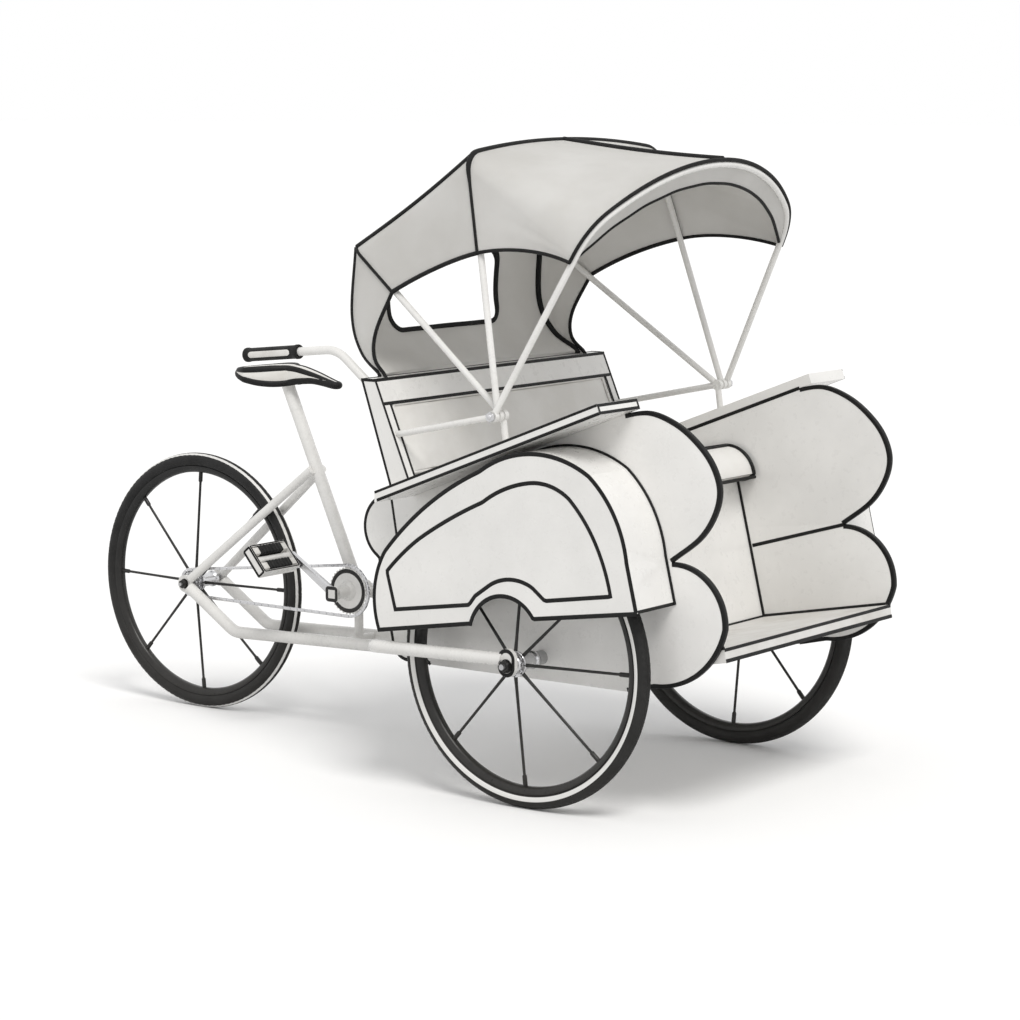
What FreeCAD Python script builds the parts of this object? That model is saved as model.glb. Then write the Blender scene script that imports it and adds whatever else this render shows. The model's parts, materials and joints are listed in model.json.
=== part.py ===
"""Cycle rickshaw: a passenger cabin with a folding hood between two front wheels, ridden from behind.

Millimetres. +X is forward, +Y is the rider's left and +Z is up. Everything is laid out from the point on
the ground below the rear axle, and the last step moves the whole model so that its origin is the bottom
centre of its box. Cabin places are given from the front axle, as (forward, up) pairs.
"""
import FreeCAD, Part
import math
import os

V = FreeCAD.Vector
SIDES = (("right", -1), ("left", 1))

# ---- driving dimensions -------------------------------------------------------------------------
TYRE_DIAMETER = 711.0          # 28 x 1 1/2 roadster tyre
TYRE_WIDTH = 40.0
WHEELBASE = 1451.0
TRACK = 919.0
AXLE_Z = TYRE_DIAMETER / 2

# wheels
RIM_DEPTH = 18.0
RIM_WIDTH = 30.0
RIM_OVERLAP = 4.5              # how far the rim's flanges stand into the tyre
SPOKE_COUNT = 8
SPOKE_D = 8.0
SPOKE_DISH = 40.0              # the spokes' roots stand this far out of the wheel's plane
HUB_D = 44.0
HUB_FLANGE_D = 64.0
HUB_FLANGE_T = 8.0
FRONT_HUB_IN = 38.0            # from the wheel's plane to the hub's inner end
FRONT_HUB_OUT = 52.0           # and to its outer end
REAR_HUB_HALF = 50.0
REAR_DISH = 26.0
BORE_CLEARANCE = 0.05          # running clearance, on the radius

# frame tubes
RAIL_D = 32.0
STAY_D = 24.0
SEAT_TUBE_D = 34.0
CENTRE_TUBE_D = 28.0
POST_D = 24.0
BRIDGE_D = 22.0
DROPOUT_Y = 70.0
DROPOUT_T = 8.0
DROPOUT_R = 24.0
TUBE_LAP = 4.0                 # how far a tube's end runs into a plate
RAIL_KNEE = (179.5, -117.1)    # rear bend of the lower rails: forward of, and above, the rear axle
RAIL_FLARE = (755.0, -100.7)   # where the rails turn outwards
RAIL_TURN_BACK = 411.0         # they run straight again this far behind the front axle
RAIL_FRONT_RISE = 14.0         # the rail's centre above the front axle
RAIL_BEND_R = 60.0
LUG_T = 12.0                   # oval end plate at the front axle's end
LUG_WIDE = 50.0
LUG_TALL = 68.0
SHELL_AT = (560.0, 29.5)       # bottom bracket: forward of, and above, the rear axle
SHELL_D = 42.0
SHELL_HALF = 34.0
SEAT_TUBE_TOP = (322.0, 557.5)
SADDLE_POST_D = 27.2
SADDLE_POST_SHOWS = 60.0
STAY_MEETS = 0.59              # share of the seat tube's length at which the stays meet it
STAY_TOP_Y = 22.0
REAR_AXLE_D = 10.0
REAR_NUT_D = 20.0
FRONT_AXLE_D = 14.0
FRONT_NUT_D = 25.0
FRONT_BEAM_D = 34.0
NUT_T = 12.0
NUT_ROOM = 6.0                 # between a nut and the rail's end, on the radius
AXLE_END = 8.0                 # thread left outside each nut
SPACER_GAP = 1.0               # between a hub's end and the spacer beside it
BEAM_STUB = 27.5               # front beam outside each side wall
RAIL_SPACER = 12.5             # from the front hub's outer end to the rail's end plate
RAIL_Y = TRACK / 2 + FRONT_HUB_OUT + RAIL_SPACER + LUG_T / 2

# drive
CHAIN_Y = 44.0
CHAIN_PITCH = 12.7
CHAINWHEEL_TEETH = 34
SPROCKET_TEETH = 18
CHAIN_HALF_H = 4.0
CHAIN_WIDTH = 8.0
CHAIN_CLEARANCE = 1.0
DISC_T = 3.0
CRANK_LENGTH = 170.0
CRANK_ANGLE = 147.6            # of the right crank, from forward, turning up and back
CRANK_Y = 102.0
CRANK_T = 14.0
CRANK_W = 24.0
CRANK_END_NARROWS = 3.0        # the arm's end is this much smaller in radius than its root
CRANK_AXLE_D = 17.0
SPIDER_D = 27.0
PEDAL_WIDTH = 140.0
PEDAL_LENGTH = 85.0
PEDAL_DEPTH = 28.0
PEDAL_TILT = 50.0
PEDAL_AXLE_D = 12.0
PEDAL_BARREL_D = 20.5
PEDAL_PLATE_T = 5.0
PEDAL_GAP = 7.0                # between the crank's face and the pedal
RUBBER_LENGTH = 26.0
RUBBER_DEPTH = 38.0

# cabin, places from the front axle as (forward, up)
WALL_Y = TRACK / 2 - FRONT_HUB_IN - SPACER_GAP - BEAM_STUB      # outer faces of the two side walls
WALL_T = 12.0
GUARD_PAST_RAIL = 15.0         # the mudguards' outer faces, out from the rails' centre lines
GUARD_Y = RAIL_Y + GUARD_PAST_RAIL
SHEET_T = 5.0
GUARD_FOOT_BACK = (-381.0, 45.5)
GUARD_REAR = ((-396.0, 140.0), (-362.0, 245.0))
GUARD_RISE = ((-228.0, 370.0), (-73.0, 461.0))
GUARD_CROWN = ((100.0, 514.0), (246.0, 472.0))
GUARD_FALL = ((318.0, 385.0), (353.0, 277.5))
GUARD_FOOT_FRONT = (380.0, 164.5)
NOTCH_R = 99.0                 # round notch in the mudguard's lower edge, over the axle
NOTCH_DROP = 39.6              # its centre below that edge
ARM_SLOPE = 20.9
ARM_POINT = (-341.0, 405.5)    # a point of the armrest's top line
ARM_BACK = -389.0
ARM_FRONT = 265.0
ARM_T = 26.0
BODY_BOTTOM = -55.5
WALL_BACK_TOP = -461.0
WALL_BACK_FOOT = (-400.0, 4.5)
WALL_BOTTOM_BACK = -340.0
WALL_BOTTOM_FRONT = 249.0
BULGE_FOOT = (326.0, -37.5)
BULGE_LOW = (470.0, 24.0)
BULGE_NOSE = (521.0, 117.5)
BULGE_HIGH = (482.0, 220.0)
CUSP = (372.0, 262.5)
CREST_LOW = (453.0, 337.0)
CREST_NOSE = (505.0, 444.5)
CREST_HIGH = (440.0, 547.0)
CREST_START = 239.0
RISER_TOP = (55.0, 352.5)
RISER_FOOT = (138.0, 4.5)
FLOOR_FRONT = (509.0, 73.0)
FLOOR_T = 33.0
BOARD_T = 12.0
SEAT_SLOPE = 11.0
SEAT_BACK = -374.0
CUSHION_GAP = 0.4
CUSHION_SIDE_GAP = 5.0
CUSHION_NOSE = (119.0, 372.0)
CUSHION_BULGE = (91.0, 424.0)  # a point of the round front, between its top and its nose
CUSHION_HEEL = (95.0, 355.5)   # and one of the round below the nose
CUSHION_TOP_FRONT = (30.0, 446.0)
CUSHION_TOP_BACK = (-330.0, 377.0)
BACK_BULGE_TOP = -477.0
BACK_BULGE = (-548.0, 264.5)
BACK_WAIST = (-503.0, 195.5)
BACK_FOOT = (-461.4, -8.0)
BACK_CORNER = (-446.0, -41.0)
BACK_BOTTOM = -410.0
PANEL_LAP = 30.0               # how far the bottom sheet runs behind the walls' rear corner
TUBE_FLANGE_D = 67.0           # round plate where the centre tube meets the cabin
TUBE_FLANGE_T = 10.0
CENTRE_TUBE_DROP = 6.0         # the centre tube's axis below the bottom bracket

# backrest, side profile from the front axle
BACKREST_PAST_WALL = 92.0
BACKREST_Y = WALL_Y + BACKREST_PAST_WALL
BACKREST_POST = 30.0
BACKREST_TOP = 650.0
BACKREST_REAR = (-390.0, 394.5)          # a point of its rear line
BACKREST_REAR_LEAN = 0.34                # how far that line leans back per unit of height
BACKREST_FACE = (-326.0, 394.5)
BACKREST_FACE_LEAN = 0.427
BACKREST_RAIL = 58.0
BACKREST_BOARD_T = 14.0
BACK_CUSHION_FOOT = 422.0
BACK_LEDGE = 21.0              # the ledge below it runs this far in front of its rear line

# hood, from the pivot
PIVOT = (-60.0, 584.5)
BOW_D = 16.0
BOW_SLOT = 19.0                # the bows' eyes lie side by side on the pivot pin
EYE_WIDTH = 14.0
EYE_PAST_WALL = 73.0
FIXED_EYE_Y = WALL_Y + EYE_PAST_WALL
EYE_D = 27.0
EYE_LAP = 1.5                  # how far the fixed bow's legs reach into its eyes
PIN_D = 12.0
PIN_HEAD = 6.0
PIN_HEAD_D = 21.6
PIN_ROOM = 9.5                 # from the outer eye's middle plane to the head of the pin
BRACKET_TUBE_D = 16.0
BRACE_MEETS = (-377.0, 519.5)  # where the brace's axis ends, in the backrest's post
BRACKET_FOOT = -49.0
FABRIC_T = 3.0
FABRIC_OFF = 10.5              # fabric's inner face from the bows' centre line
REAR_ANGLE = -53.5
MIDDLE_ANGLE = -14.0
FRONT_ANGLE = 27.6
VALANCE_RISE = 607.0
VALANCE_R = 623.0
VALANCE_T = 3.0
WINDOW_HALF = 226.0
WINDOW_LOW = 742.0
WINDOW_HIGH = 938.0
WINDOW_R = 42.0
# Each bow lies in a plane through the pivot line. In that plane, y is across and r is out from the pivot.
# angle: forward from upright; foot: y of its eye; lean: how far in its legs come per unit of r;
# top: r of its crown; crown: radius of the crown; shoulder: radius where leg and crown meet;
# edge: r of the fabric's edge
BOWS = {
    "rear": {"angle": REAR_ANGLE, "foot": FIXED_EYE_Y, "lean": 0.13,
             "top": 655.0, "crown": 2600.0, "shoulder": 32.0, "edge": 462.0},
    "middle": {"angle": MIDDLE_ANGLE, "foot": FIXED_EYE_Y + BOW_SLOT, "lean": 0.15,
               "top": 644.0, "crown": 2800.0, "shoulder": 45.0, "edge": 390.0},
    "front": {"angle": FRONT_ANGLE, "foot": FIXED_EYE_Y + 2 * BOW_SLOT, "lean": 0.13,
              "top": 658.0, "crown": 655.0, "shoulder": 150.0, "edge": 412.0},
}
CURTAIN_DRAW_IN = 4.0          # the curtain's lower sections stand this far inside the rear bow's eyes
CURTAIN_FOOT = FIXED_EYE_Y - CURTAIN_DRAW_IN
CURTAIN = (
    {"angle": -67.7, "foot": CURTAIN_FOOT, "lean": 0.13,
     "top": 583.0, "crown": 2600.0, "shoulder": 30.0, "edge": 462.0},
    {"angle": -75.7, "foot": CURTAIN_FOOT, "lean": 0.13,
     "top": 520.0, "crown": 2600.0, "shoulder": 18.0, "edge": 445.0},
    {"angle": -80.2, "foot": CURTAIN_FOOT, "lean": 0.13,
     "top": 422.0, "crown": 6000.0, "shoulder": 4.0, "edge": 396.0},
)

# handles, from the front axle
HANDLE_PAST_WALL = 17.0
HANDLE_Y = WALL_Y + HANDLE_PAST_WALL
HANDLE_D = 22.0
HANDLE_ROOT = (-457.0, 585.5)
HANDLE_CREST = (-614.6, 710.1)
HANDLE_END = (-911.0, 681.5)
HANDLE_BEND_R = 90.0
HANDLE_FLANGE_D = 44.0
HANDLE_FLANGE_T = 5.0
HANDLE_REACH = 44.0            # the tube's line runs this far past its root before it is trimmed
GRIP_END = 4.0                 # the grip's closed end
GRIP_LENGTH = 160.0
GRIP_D = 34.0

# saddle, from the rear axle
SADDLE_BACK = 163.0
SADDLE_NOSE = 505.0
SADDLE_HALF = 95.0
SADDLE_NOSE_R = 20.0
SADDLE_T = 64.0
SADDLE_ROUND = 78.5            # from the back to its widest place
SADDLE_WAIST = 180.0           # from the back to the waist
SADDLE_WAIST_HALF = 32.0
SADDLE_FLANK = (130.0, 76.0)   # a point of the curved flank: from the back, and out from the middle

PIECES = {}


def keep(name, shape):
    """Names a finished piece."""
    PIECES[name] = shape.removeSplitter() if len(shape.Solids) == 1 else shape


def at_cabin(place, y):
    """A cabin place, forward of and above the front axle, as a point."""
    return V(WHEELBASE + place[0], y, AXLE_Z + place[1])


def at_rear(place, y):
    """A frame place, forward of and above the rear axle, as a point."""
    return V(place[0], y, AXLE_Z + place[1])


def rod(start, end, diameter):
    """A round bar between two points."""
    run = end - start
    return Part.makeCylinder(diameter / 2, run.Length, start, run)


def across(place, y0, y1, diameter):
    """A round bar along Y through a point."""
    return Part.makeCylinder(diameter / 2, y1 - y0, V(place.x, y0, place.z), V(0, 1, 0))


def mirrored(shape):
    """The same piece on the other side of the vehicle."""
    return shape.mirror(V(0, 0, 0), V(0, 1, 0))


def bent_path(points, bend):
    """A wire of straight runs joined by tangent arcs of radius bend."""
    edges = []
    here = points[0]
    for before, corner, after in zip(points, points[1:], points[2:]):
        back = (before - corner).normalize()
        on = (after - corner).normalize()
        half = back.getAngle(on) / 2
        reach = bend / math.tan(half)
        start = corner + back * reach
        end = corner + on * reach
        bisector = (back + on).normalize()
        middle = corner + bisector * (bend / math.sin(half) - bend)
        edges.append(Part.LineSegment(here, start).toShape())
        edges.append(Part.Arc(start, middle, end).toShape())
        here = end
    edges.append(Part.LineSegment(here, points[-1]).toShape())
    return Part.Wire(edges)


def bent_tube(points, diameter, bend):
    """A solid round tube along a bent path."""
    path = bent_path(points, bend)
    circle = Part.Circle(points[0], points[1] - points[0], diameter / 2).toShape()
    return path.makePipeShell([Part.Wire([circle])], True, False)


def wire_through(start, steps):
    """A closed wire from start: a step of one point is a straight, of two an arc by way of the first."""
    edges = []
    here = start
    for step in steps:
        if len(step) == 1:
            edges.append(Part.LineSegment(here, step[0]).toShape())
        else:
            edges.append(Part.Arc(here, step[0], step[1]).toShape())
        here = step[-1]
    if (here - start).Length > 1e-6:
        edges.append(Part.LineSegment(here, start).toShape())
    return Part.Wire(edges)


def slab(start, steps, y0, y1):
    """A cabin outline, in places from the front axle, made into a plate from y0 to y1."""
    points = [tuple(at_cabin(place, y0) for place in step) for step in steps]
    face = Part.Face(wire_through(at_cabin(start, y0), points))
    return face.extrude(V(0, y1 - y0, 0))


def disc_hull(place1, radius1, place2, radius2, y0, y1):
    """The plate that a belt round two discs encloses."""
    run = place2 - place1
    heading = math.atan2(run.z, run.x)
    spread = math.acos((radius1 - radius2) / run.Length)

    def on(place, radius, angle):
        return V(place.x + radius * math.cos(angle), y0, place.z + radius * math.sin(angle))

    steps = [
        (on(place2, radius2, heading + spread),),
        (on(place2, radius2, heading), on(place2, radius2, heading - spread)),
        (on(place1, radius1, heading - spread),),
        (on(place1, radius1, heading + math.pi), on(place1, radius1, heading + spread)),
    ]
    return Part.Face(wire_through(on(place1, radius1, heading + spread), steps)).extrude(V(0, y1 - y0, 0))


def ring(inner_r, outer_r, half_width, centre):
    """A plain ring round a Y axis."""
    base = centre - V(0, half_width, 0)
    outer = Part.makeCylinder(outer_r, 2 * half_width, base, V(0, 1, 0))
    return outer.cut(Part.makeCylinder(inner_r, 2 * half_width, base, V(0, 1, 0)))


# ---- wheels -------------------------------------------------------------------------------------
RIM_OUTER_R = AXLE_Z - TYRE_WIDTH + RIM_OVERLAP
RIM_INNER_R = RIM_OUTER_R - RIM_DEPTH


def wheel(name, centre, sign, hub_in, hub_out, dish, axle_d):
    """A tyre, a rim with its spokes, and a hub. The dish and the hub's long end point to sign."""
    rim = ring(RIM_INNER_R, RIM_OUTER_R, RIM_WIDTH / 2, centre)
    tyre = Part.makeTorus(AXLE_Z - TYRE_WIDTH / 2, TYRE_WIDTH / 2, centre, V(0, 1, 0)).cut(rim)
    ends = sorted((centre.y - sign * hub_in, centre.y + sign * hub_out))
    hub = across(centre, ends[0], ends[1], HUB_D)
    root_y = centre.y + sign * dish
    flange = across(centre, root_y - HUB_FLANGE_T / 2, root_y + HUB_FLANGE_T / 2, HUB_FLANGE_D)
    bore = across(centre, ends[0], ends[1], axle_d + 2 * BORE_CLEARANCE)
    hub = hub.fuse(flange).cut(bore)
    spokes = []
    root_r = HUB_FLANGE_D / 2 - SPOKE_D
    tip_r = RIM_INNER_R + RIM_DEPTH / 2
    for index in range(SPOKE_COUNT):
        turn = 2 * math.pi * index / SPOKE_COUNT
        root = V(centre.x + root_r * math.cos(turn), root_y, centre.z + root_r * math.sin(turn))
        tip = V(centre.x + tip_r * math.cos(turn), centre.y, centre.z + tip_r * math.sin(turn))
        spokes.append(rod(root, tip, SPOKE_D))
    keep(name + "_tyre", tyre)
    keep(name + "_rim", rim.fuse(spokes).cut(hub))
    return hub


FRONT_CENTRES = {side: V(WHEELBASE, sign * TRACK / 2, AXLE_Z) for side, sign in SIDES}
REAR_CENTRE = V(0, 0, AXLE_Z)
SHELL_CENTRE = at_rear(SHELL_AT, 0)
CHAINWHEEL_R = CHAINWHEEL_TEETH * CHAIN_PITCH / (2 * math.pi)
SPROCKET_R = SPROCKET_TEETH * CHAIN_PITCH / (2 * math.pi)
DISC_CLEARANCE = CHAIN_HALF_H + CHAIN_CLEARANCE

for side, sign in SIDES:
    front_hub = wheel("front_" + side, FRONT_CENTRES[side], sign,
                      FRONT_HUB_IN, FRONT_HUB_OUT, SPOKE_DISH, FRONT_AXLE_D)
    keep("front_" + side + "_hub", front_hub)

rear_hub = wheel("rear", REAR_CENTRE, -1, REAR_HUB_HALF, REAR_HUB_HALF, REAR_DISH, REAR_AXLE_D)
rear_sprocket = across(REAR_CENTRE, -CHAIN_Y - DISC_T / 2, -CHAIN_Y + DISC_T / 2,
                       2 * (SPROCKET_R - DISC_CLEARANCE))
rear_sprocket = rear_sprocket.cut(across(REAR_CENTRE, -CHAIN_Y - DISC_T, -CHAIN_Y + DISC_T, HUB_D))
keep("rear_hub", rear_hub.fuse(rear_sprocket))


# ---- frame --------------------------------------------------------------------------------------
def lower_rail(sign):
    """A rail from the rear dropout, down, forward, out round the front wheel and up to the axle's end."""
    rear = at_rear((0, 0), sign * DROPOUT_Y)
    knee = at_rear(RAIL_KNEE, sign * DROPOUT_Y)
    flare = at_rear(RAIL_FLARE, sign * DROPOUT_Y)
    turn = at_cabin((-RAIL_TURN_BACK, RAIL_FRONT_RISE / 3), sign * RAIL_Y)
    front = at_cabin((-LUG_WIDE / 2 + LUG_T, RAIL_FRONT_RISE), sign * RAIL_Y)
    start = rear + (knee - rear).normalize() * (DROPOUT_R - TUBE_LAP)
    tube = bent_tube([start, knee, flare, turn, front], RAIL_D, RAIL_BEND_R)
    dropout = across(rear, rear.y - DROPOUT_T / 2, rear.y + DROPOUT_T / 2, 2 * DROPOUT_R)
    lug_r = LUG_WIDE / 2
    lug_centre = at_cabin((0, RAIL_FRONT_RISE / 2), sign * RAIL_Y)
    rise = V(0, 0, LUG_TALL / 2 - lug_r)
    plate_y = sorted((lug_centre.y - LUG_T / 2, lug_centre.y + LUG_T / 2))
    lug = disc_hull(lug_centre - rise, lug_r, lug_centre + rise, lug_r, plate_y[0], plate_y[1])
    axle = at_cabin((0, 0), sign * RAIL_Y)
    nut_room = across(axle, axle.y - RAIL_D, axle.y + RAIL_D, FRONT_NUT_D + 2 * NUT_ROOM)
    rail = tube.cut(nut_room).fuse(dropout).fuse(lug)
    rail = rail.cut(across(rear, rear.y - RAIL_D, rear.y + RAIL_D, REAR_AXLE_D + 2 * BORE_CLEARANCE))
    return rail.cut(across(axle, axle.y - RAIL_D, axle.y + RAIL_D, FRONT_AXLE_D + 2 * BORE_CLEARANCE))


seat_tube_top = at_rear(SEAT_TUBE_TOP, 0)
seat_axis = (seat_tube_top - SHELL_CENTRE).normalize()
seat_tube_end = seat_tube_top - seat_axis * SADDLE_POST_SHOWS
shell = across(SHELL_CENTRE, -SHELL_HALF, SHELL_HALF, SHELL_D)
rail_at_shell = RAIL_KNEE[1] + (RAIL_FLARE[1] - RAIL_KNEE[1]) * (SHELL_AT[0] - RAIL_KNEE[0]) / (
    RAIL_FLARE[0] - RAIL_KNEE[0])
bridge_centre = at_rear((SHELL_AT[0], rail_at_shell), 0)

rails = {side: lower_rail(sign) for side, sign in SIDES}
bridge = across(bridge_centre, -DROPOUT_Y, DROPOUT_Y, BRIDGE_D).cut(rails["right"]).cut(rails["left"])
seat_tube = rod(SHELL_CENTRE, seat_tube_end, SEAT_TUBE_D).fuse(shell)
post_hole = rod(seat_tube_end - seat_axis * 2 * SADDLE_POST_SHOWS, seat_tube_end, SADDLE_POST_D)
shell_bore = across(SHELL_CENTRE, -SHELL_HALF, SHELL_HALF, CRANK_AXLE_D + 2 * BORE_CLEARANCE)
seat_tube = seat_tube.cut(post_hole).cut(shell_bore)
frame_post = rod(SHELL_CENTRE, bridge_centre, POST_D).cut(shell).cut(bridge)

for side, sign in SIDES:
    stay_foot = at_rear((0, 0), sign * DROPOUT_Y)
    stay_head = SHELL_CENTRE + (seat_tube_top - SHELL_CENTRE) * STAY_MEETS + V(0, sign * STAY_TOP_Y, 0)
    stay_run = (stay_head - stay_foot).normalize()
    stay = rod(stay_foot + stay_run * (DROPOUT_R - TUBE_LAP / 2), stay_head, STAY_D)
    own_half = Part.makeBox(WHEELBASE, TRACK, WHEELBASE, V(-WHEELBASE / 2, min(0, sign * TRACK), 0))
    stay = stay.common(own_half).cut(seat_tube).cut(rails[side])
    keep("lower_rail_" + side, rails[side])
    keep("seat_stay_" + side, stay)

keep("seat_tube", seat_tube)
keep("rail_bridge", bridge)
keep("frame_post", frame_post)

# axles
rear_axle_half = DROPOUT_Y + DROPOUT_T / 2 + NUT_T + AXLE_END
rear_axle = across(REAR_CENTRE, -rear_axle_half, rear_axle_half, REAR_AXLE_D)
front_axle_half = RAIL_Y + LUG_T / 2 + NUT_T + AXLE_END
front_centre = at_cabin((0, 0), 0)
front_axle = across(front_centre, -front_axle_half, front_axle_half, FRONT_AXLE_D)
beam_half = TRACK / 2 - FRONT_HUB_IN - SPACER_GAP
front_axle = front_axle.fuse(across(front_centre, -beam_half, beam_half, FRONT_BEAM_D))
for _, sign in SIDES:
    plate_out = DROPOUT_Y + DROPOUT_T / 2
    hub_out = REAR_HUB_HALF + SPACER_GAP
    for near, far in ((plate_out, plate_out + NUT_T), (hub_out, DROPOUT_Y - DROPOUT_T / 2)):
        ends = sorted((sign * near, sign * far))
        rear_axle = rear_axle.fuse(across(REAR_CENTRE, ends[0], ends[1], REAR_NUT_D))
    plate_out = RAIL_Y + LUG_T / 2
    hub_out = TRACK / 2 + FRONT_HUB_OUT + SPACER_GAP
    for near, far in ((plate_out, plate_out + NUT_T), (hub_out, RAIL_Y - LUG_T / 2)):
        ends = sorted((sign * near, sign * far))
        front_axle = front_axle.fuse(across(front_centre, ends[0], ends[1], FRONT_NUT_D))
keep("rear_axle", rear_axle)
keep("front_axle", front_axle)


# ---- saddle -------------------------------------------------------------------------------------
saddle_foot = AXLE_Z + SEAT_TUBE_TOP[1]
saddle_post = rod(seat_tube_end - seat_axis * 2 * SADDLE_POST_SHOWS, seat_tube_top + seat_axis * SADDLE_T,
                  SADDLE_POST_D)
above_post = Part.makeBox(WHEELBASE, TRACK, WHEELBASE, V(-TRACK / 2, -TRACK / 2, saddle_foot))
saddle_post = saddle_post.cut(above_post)
keep("saddle_post", saddle_post)


def saddle():
    """A plate of the saddle's plan: a half-round back, and sides that draw in to a round nose."""
    def point(x, y):
        return V(x, y, saddle_foot)

    wide = point(SADDLE_BACK + SADDLE_ROUND, SADDLE_HALF)
    flank = point(SADDLE_BACK + SADDLE_FLANK[0], SADDLE_FLANK[1])
    waist = point(SADDLE_BACK + SADDLE_WAIST, SADDLE_WAIST_HALF)
    nose = point(SADDLE_NOSE - SADDLE_NOSE_R, SADDLE_NOSE_R)

    def other(place):
        return point(place.x, -place.y)

    steps = [
        (point(SADDLE_BACK, 0), wide),
        (flank, waist),
        (nose,),
        (point(SADDLE_NOSE, 0), other(nose)),
        (other(waist),),
        (other(flank), other(wide)),
    ]
    return Part.Face(wire_through(other(wide), steps)).extrude(V(0, 0, SADDLE_T))


keep("saddle", saddle())


# ---- drive --------------------------------------------------------------------------------------
chain = disc_hull(REAR_CENTRE, SPROCKET_R + CHAIN_HALF_H, SHELL_CENTRE, CHAINWHEEL_R + CHAIN_HALF_H,
                  -CHAIN_Y - CHAIN_WIDTH / 2, -CHAIN_Y + CHAIN_WIDTH / 2)
chain = chain.cut(disc_hull(REAR_CENTRE, SPROCKET_R - CHAIN_HALF_H, SHELL_CENTRE, CHAINWHEEL_R - CHAIN_HALF_H,
                            -CHAIN_Y - CHAIN_WIDTH / 2, -CHAIN_Y + CHAIN_WIDTH / 2))
keep("chain", chain)

crank_end_half = CRANK_Y + CRANK_T / 2
crankset = across(SHELL_CENTRE, -crank_end_half, crank_end_half, CRANK_AXLE_D)
crankset = crankset.fuse(across(SHELL_CENTRE, -CHAIN_Y - DISC_T / 2, -CHAIN_Y + DISC_T / 2,
                                2 * (CHAINWHEEL_R - DISC_CLEARANCE)))
spider_in = CHAIN_Y + DISC_T / 2
crankset = crankset.fuse(across(SHELL_CENTRE, -CRANK_Y, -spider_in, SPIDER_D))
pedal_places = {}
for side, sign in SIDES:
    turn = math.radians(CRANK_ANGLE if sign < 0 else CRANK_ANGLE + 180)
    end = SHELL_CENTRE + V(CRANK_LENGTH * math.cos(turn), 0, CRANK_LENGTH * math.sin(turn))
    arm = disc_hull(SHELL_CENTRE, CRANK_W / 2, end, CRANK_W / 2 - CRANK_END_NARROWS,
                    sign * CRANK_Y - CRANK_T / 2, sign * CRANK_Y + CRANK_T / 2)
    stub_out = crank_end_half + PEDAL_GAP + PEDAL_WIDTH - 2 * PEDAL_PLATE_T
    stub_ends = sorted((sign * CRANK_Y, sign * stub_out))
    stub = across(end, stub_ends[0], stub_ends[1], PEDAL_AXLE_D)
    crankset = crankset.fuse(arm).fuse(stub)
    pedal_places[side] = end
keep("crankset", crankset)


def pedal(side, sign, place):
    """A cage of four plates round a barrel, with a rubber block before and behind the barrel."""
    inner = crank_end_half + PEDAL_GAP
    origin = V(0, 0, 0)
    room = PEDAL_LENGTH - 2 * PEDAL_PLATE_T
    clear_width = PEDAL_WIDTH - 2 * PEDAL_PLATE_T
    frame = Part.makeBox(PEDAL_LENGTH, PEDAL_WIDTH, PEDAL_DEPTH,
                         V(-PEDAL_LENGTH / 2, inner, -PEDAL_DEPTH / 2))
    frame = frame.cut(Part.makeBox(room, clear_width, PEDAL_DEPTH,
                                   V(-room / 2, inner + PEDAL_PLATE_T, -PEDAL_DEPTH / 2)))
    frame = frame.fuse(across(origin, inner, inner + PEDAL_WIDTH, PEDAL_BARREL_D))
    frame = frame.cut(across(origin, inner, inner + PEDAL_WIDTH - PEDAL_PLATE_T,
                             PEDAL_AXLE_D + 2 * BORE_CLEARANCE))
    blocks = []
    for direction in (-1, 1):
        middle = direction * (room / 2 - RUBBER_LENGTH / 2 - CUSHION_GAP)
        blocks.append(Part.makeBox(RUBBER_LENGTH, clear_width - 2 * CUSHION_GAP, RUBBER_DEPTH,
                                   V(middle - RUBBER_LENGTH / 2, inner + PEDAL_PLATE_T + CUSHION_GAP,
                                     -RUBBER_DEPTH / 2)))
    rubbers = Part.makeCompound([block.cut(frame) for block in blocks])
    tilt = PEDAL_TILT if sign < 0 else 0
    for name, shape in (("frame", frame), ("rubbers", rubbers)):
        placed = shape.copy()
        if sign < 0:
            placed = mirrored(placed)
        placed.rotate(origin, V(0, 1, 0), tilt)
        placed.translate(V(place.x, 0, place.z))
        keep("pedal_" + side + "_" + name, placed)


for side, sign in SIDES:
    pedal(side, sign, pedal_places[side])


# ---- cabin --------------------------------------------------------------------------------------
def arm_line(x):
    """Height of the armrest's top above the front axle, at x."""
    return ARM_POINT[1] + (x - ARM_POINT[0]) * math.tan(math.radians(ARM_SLOPE))


ARM_DROP = ARM_T / math.cos(math.radians(ARM_SLOPE))
LEDGE = arm_line(ARM_BACK) - ARM_DROP


def seat_line(x):
    """Height of the seat board's top above the front axle, at x."""
    return RISER_TOP[1] + (x - RISER_TOP[0]) * math.tan(math.radians(SEAT_SLOPE))


def backrest_x(line, z):
    """Where the backrest's rear line or its face is at height z."""
    lean = BACKREST_REAR_LEAN if line == BACKREST_REAR else BACKREST_FACE_LEAN
    return line[0] - (z - line[1]) * lean


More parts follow.
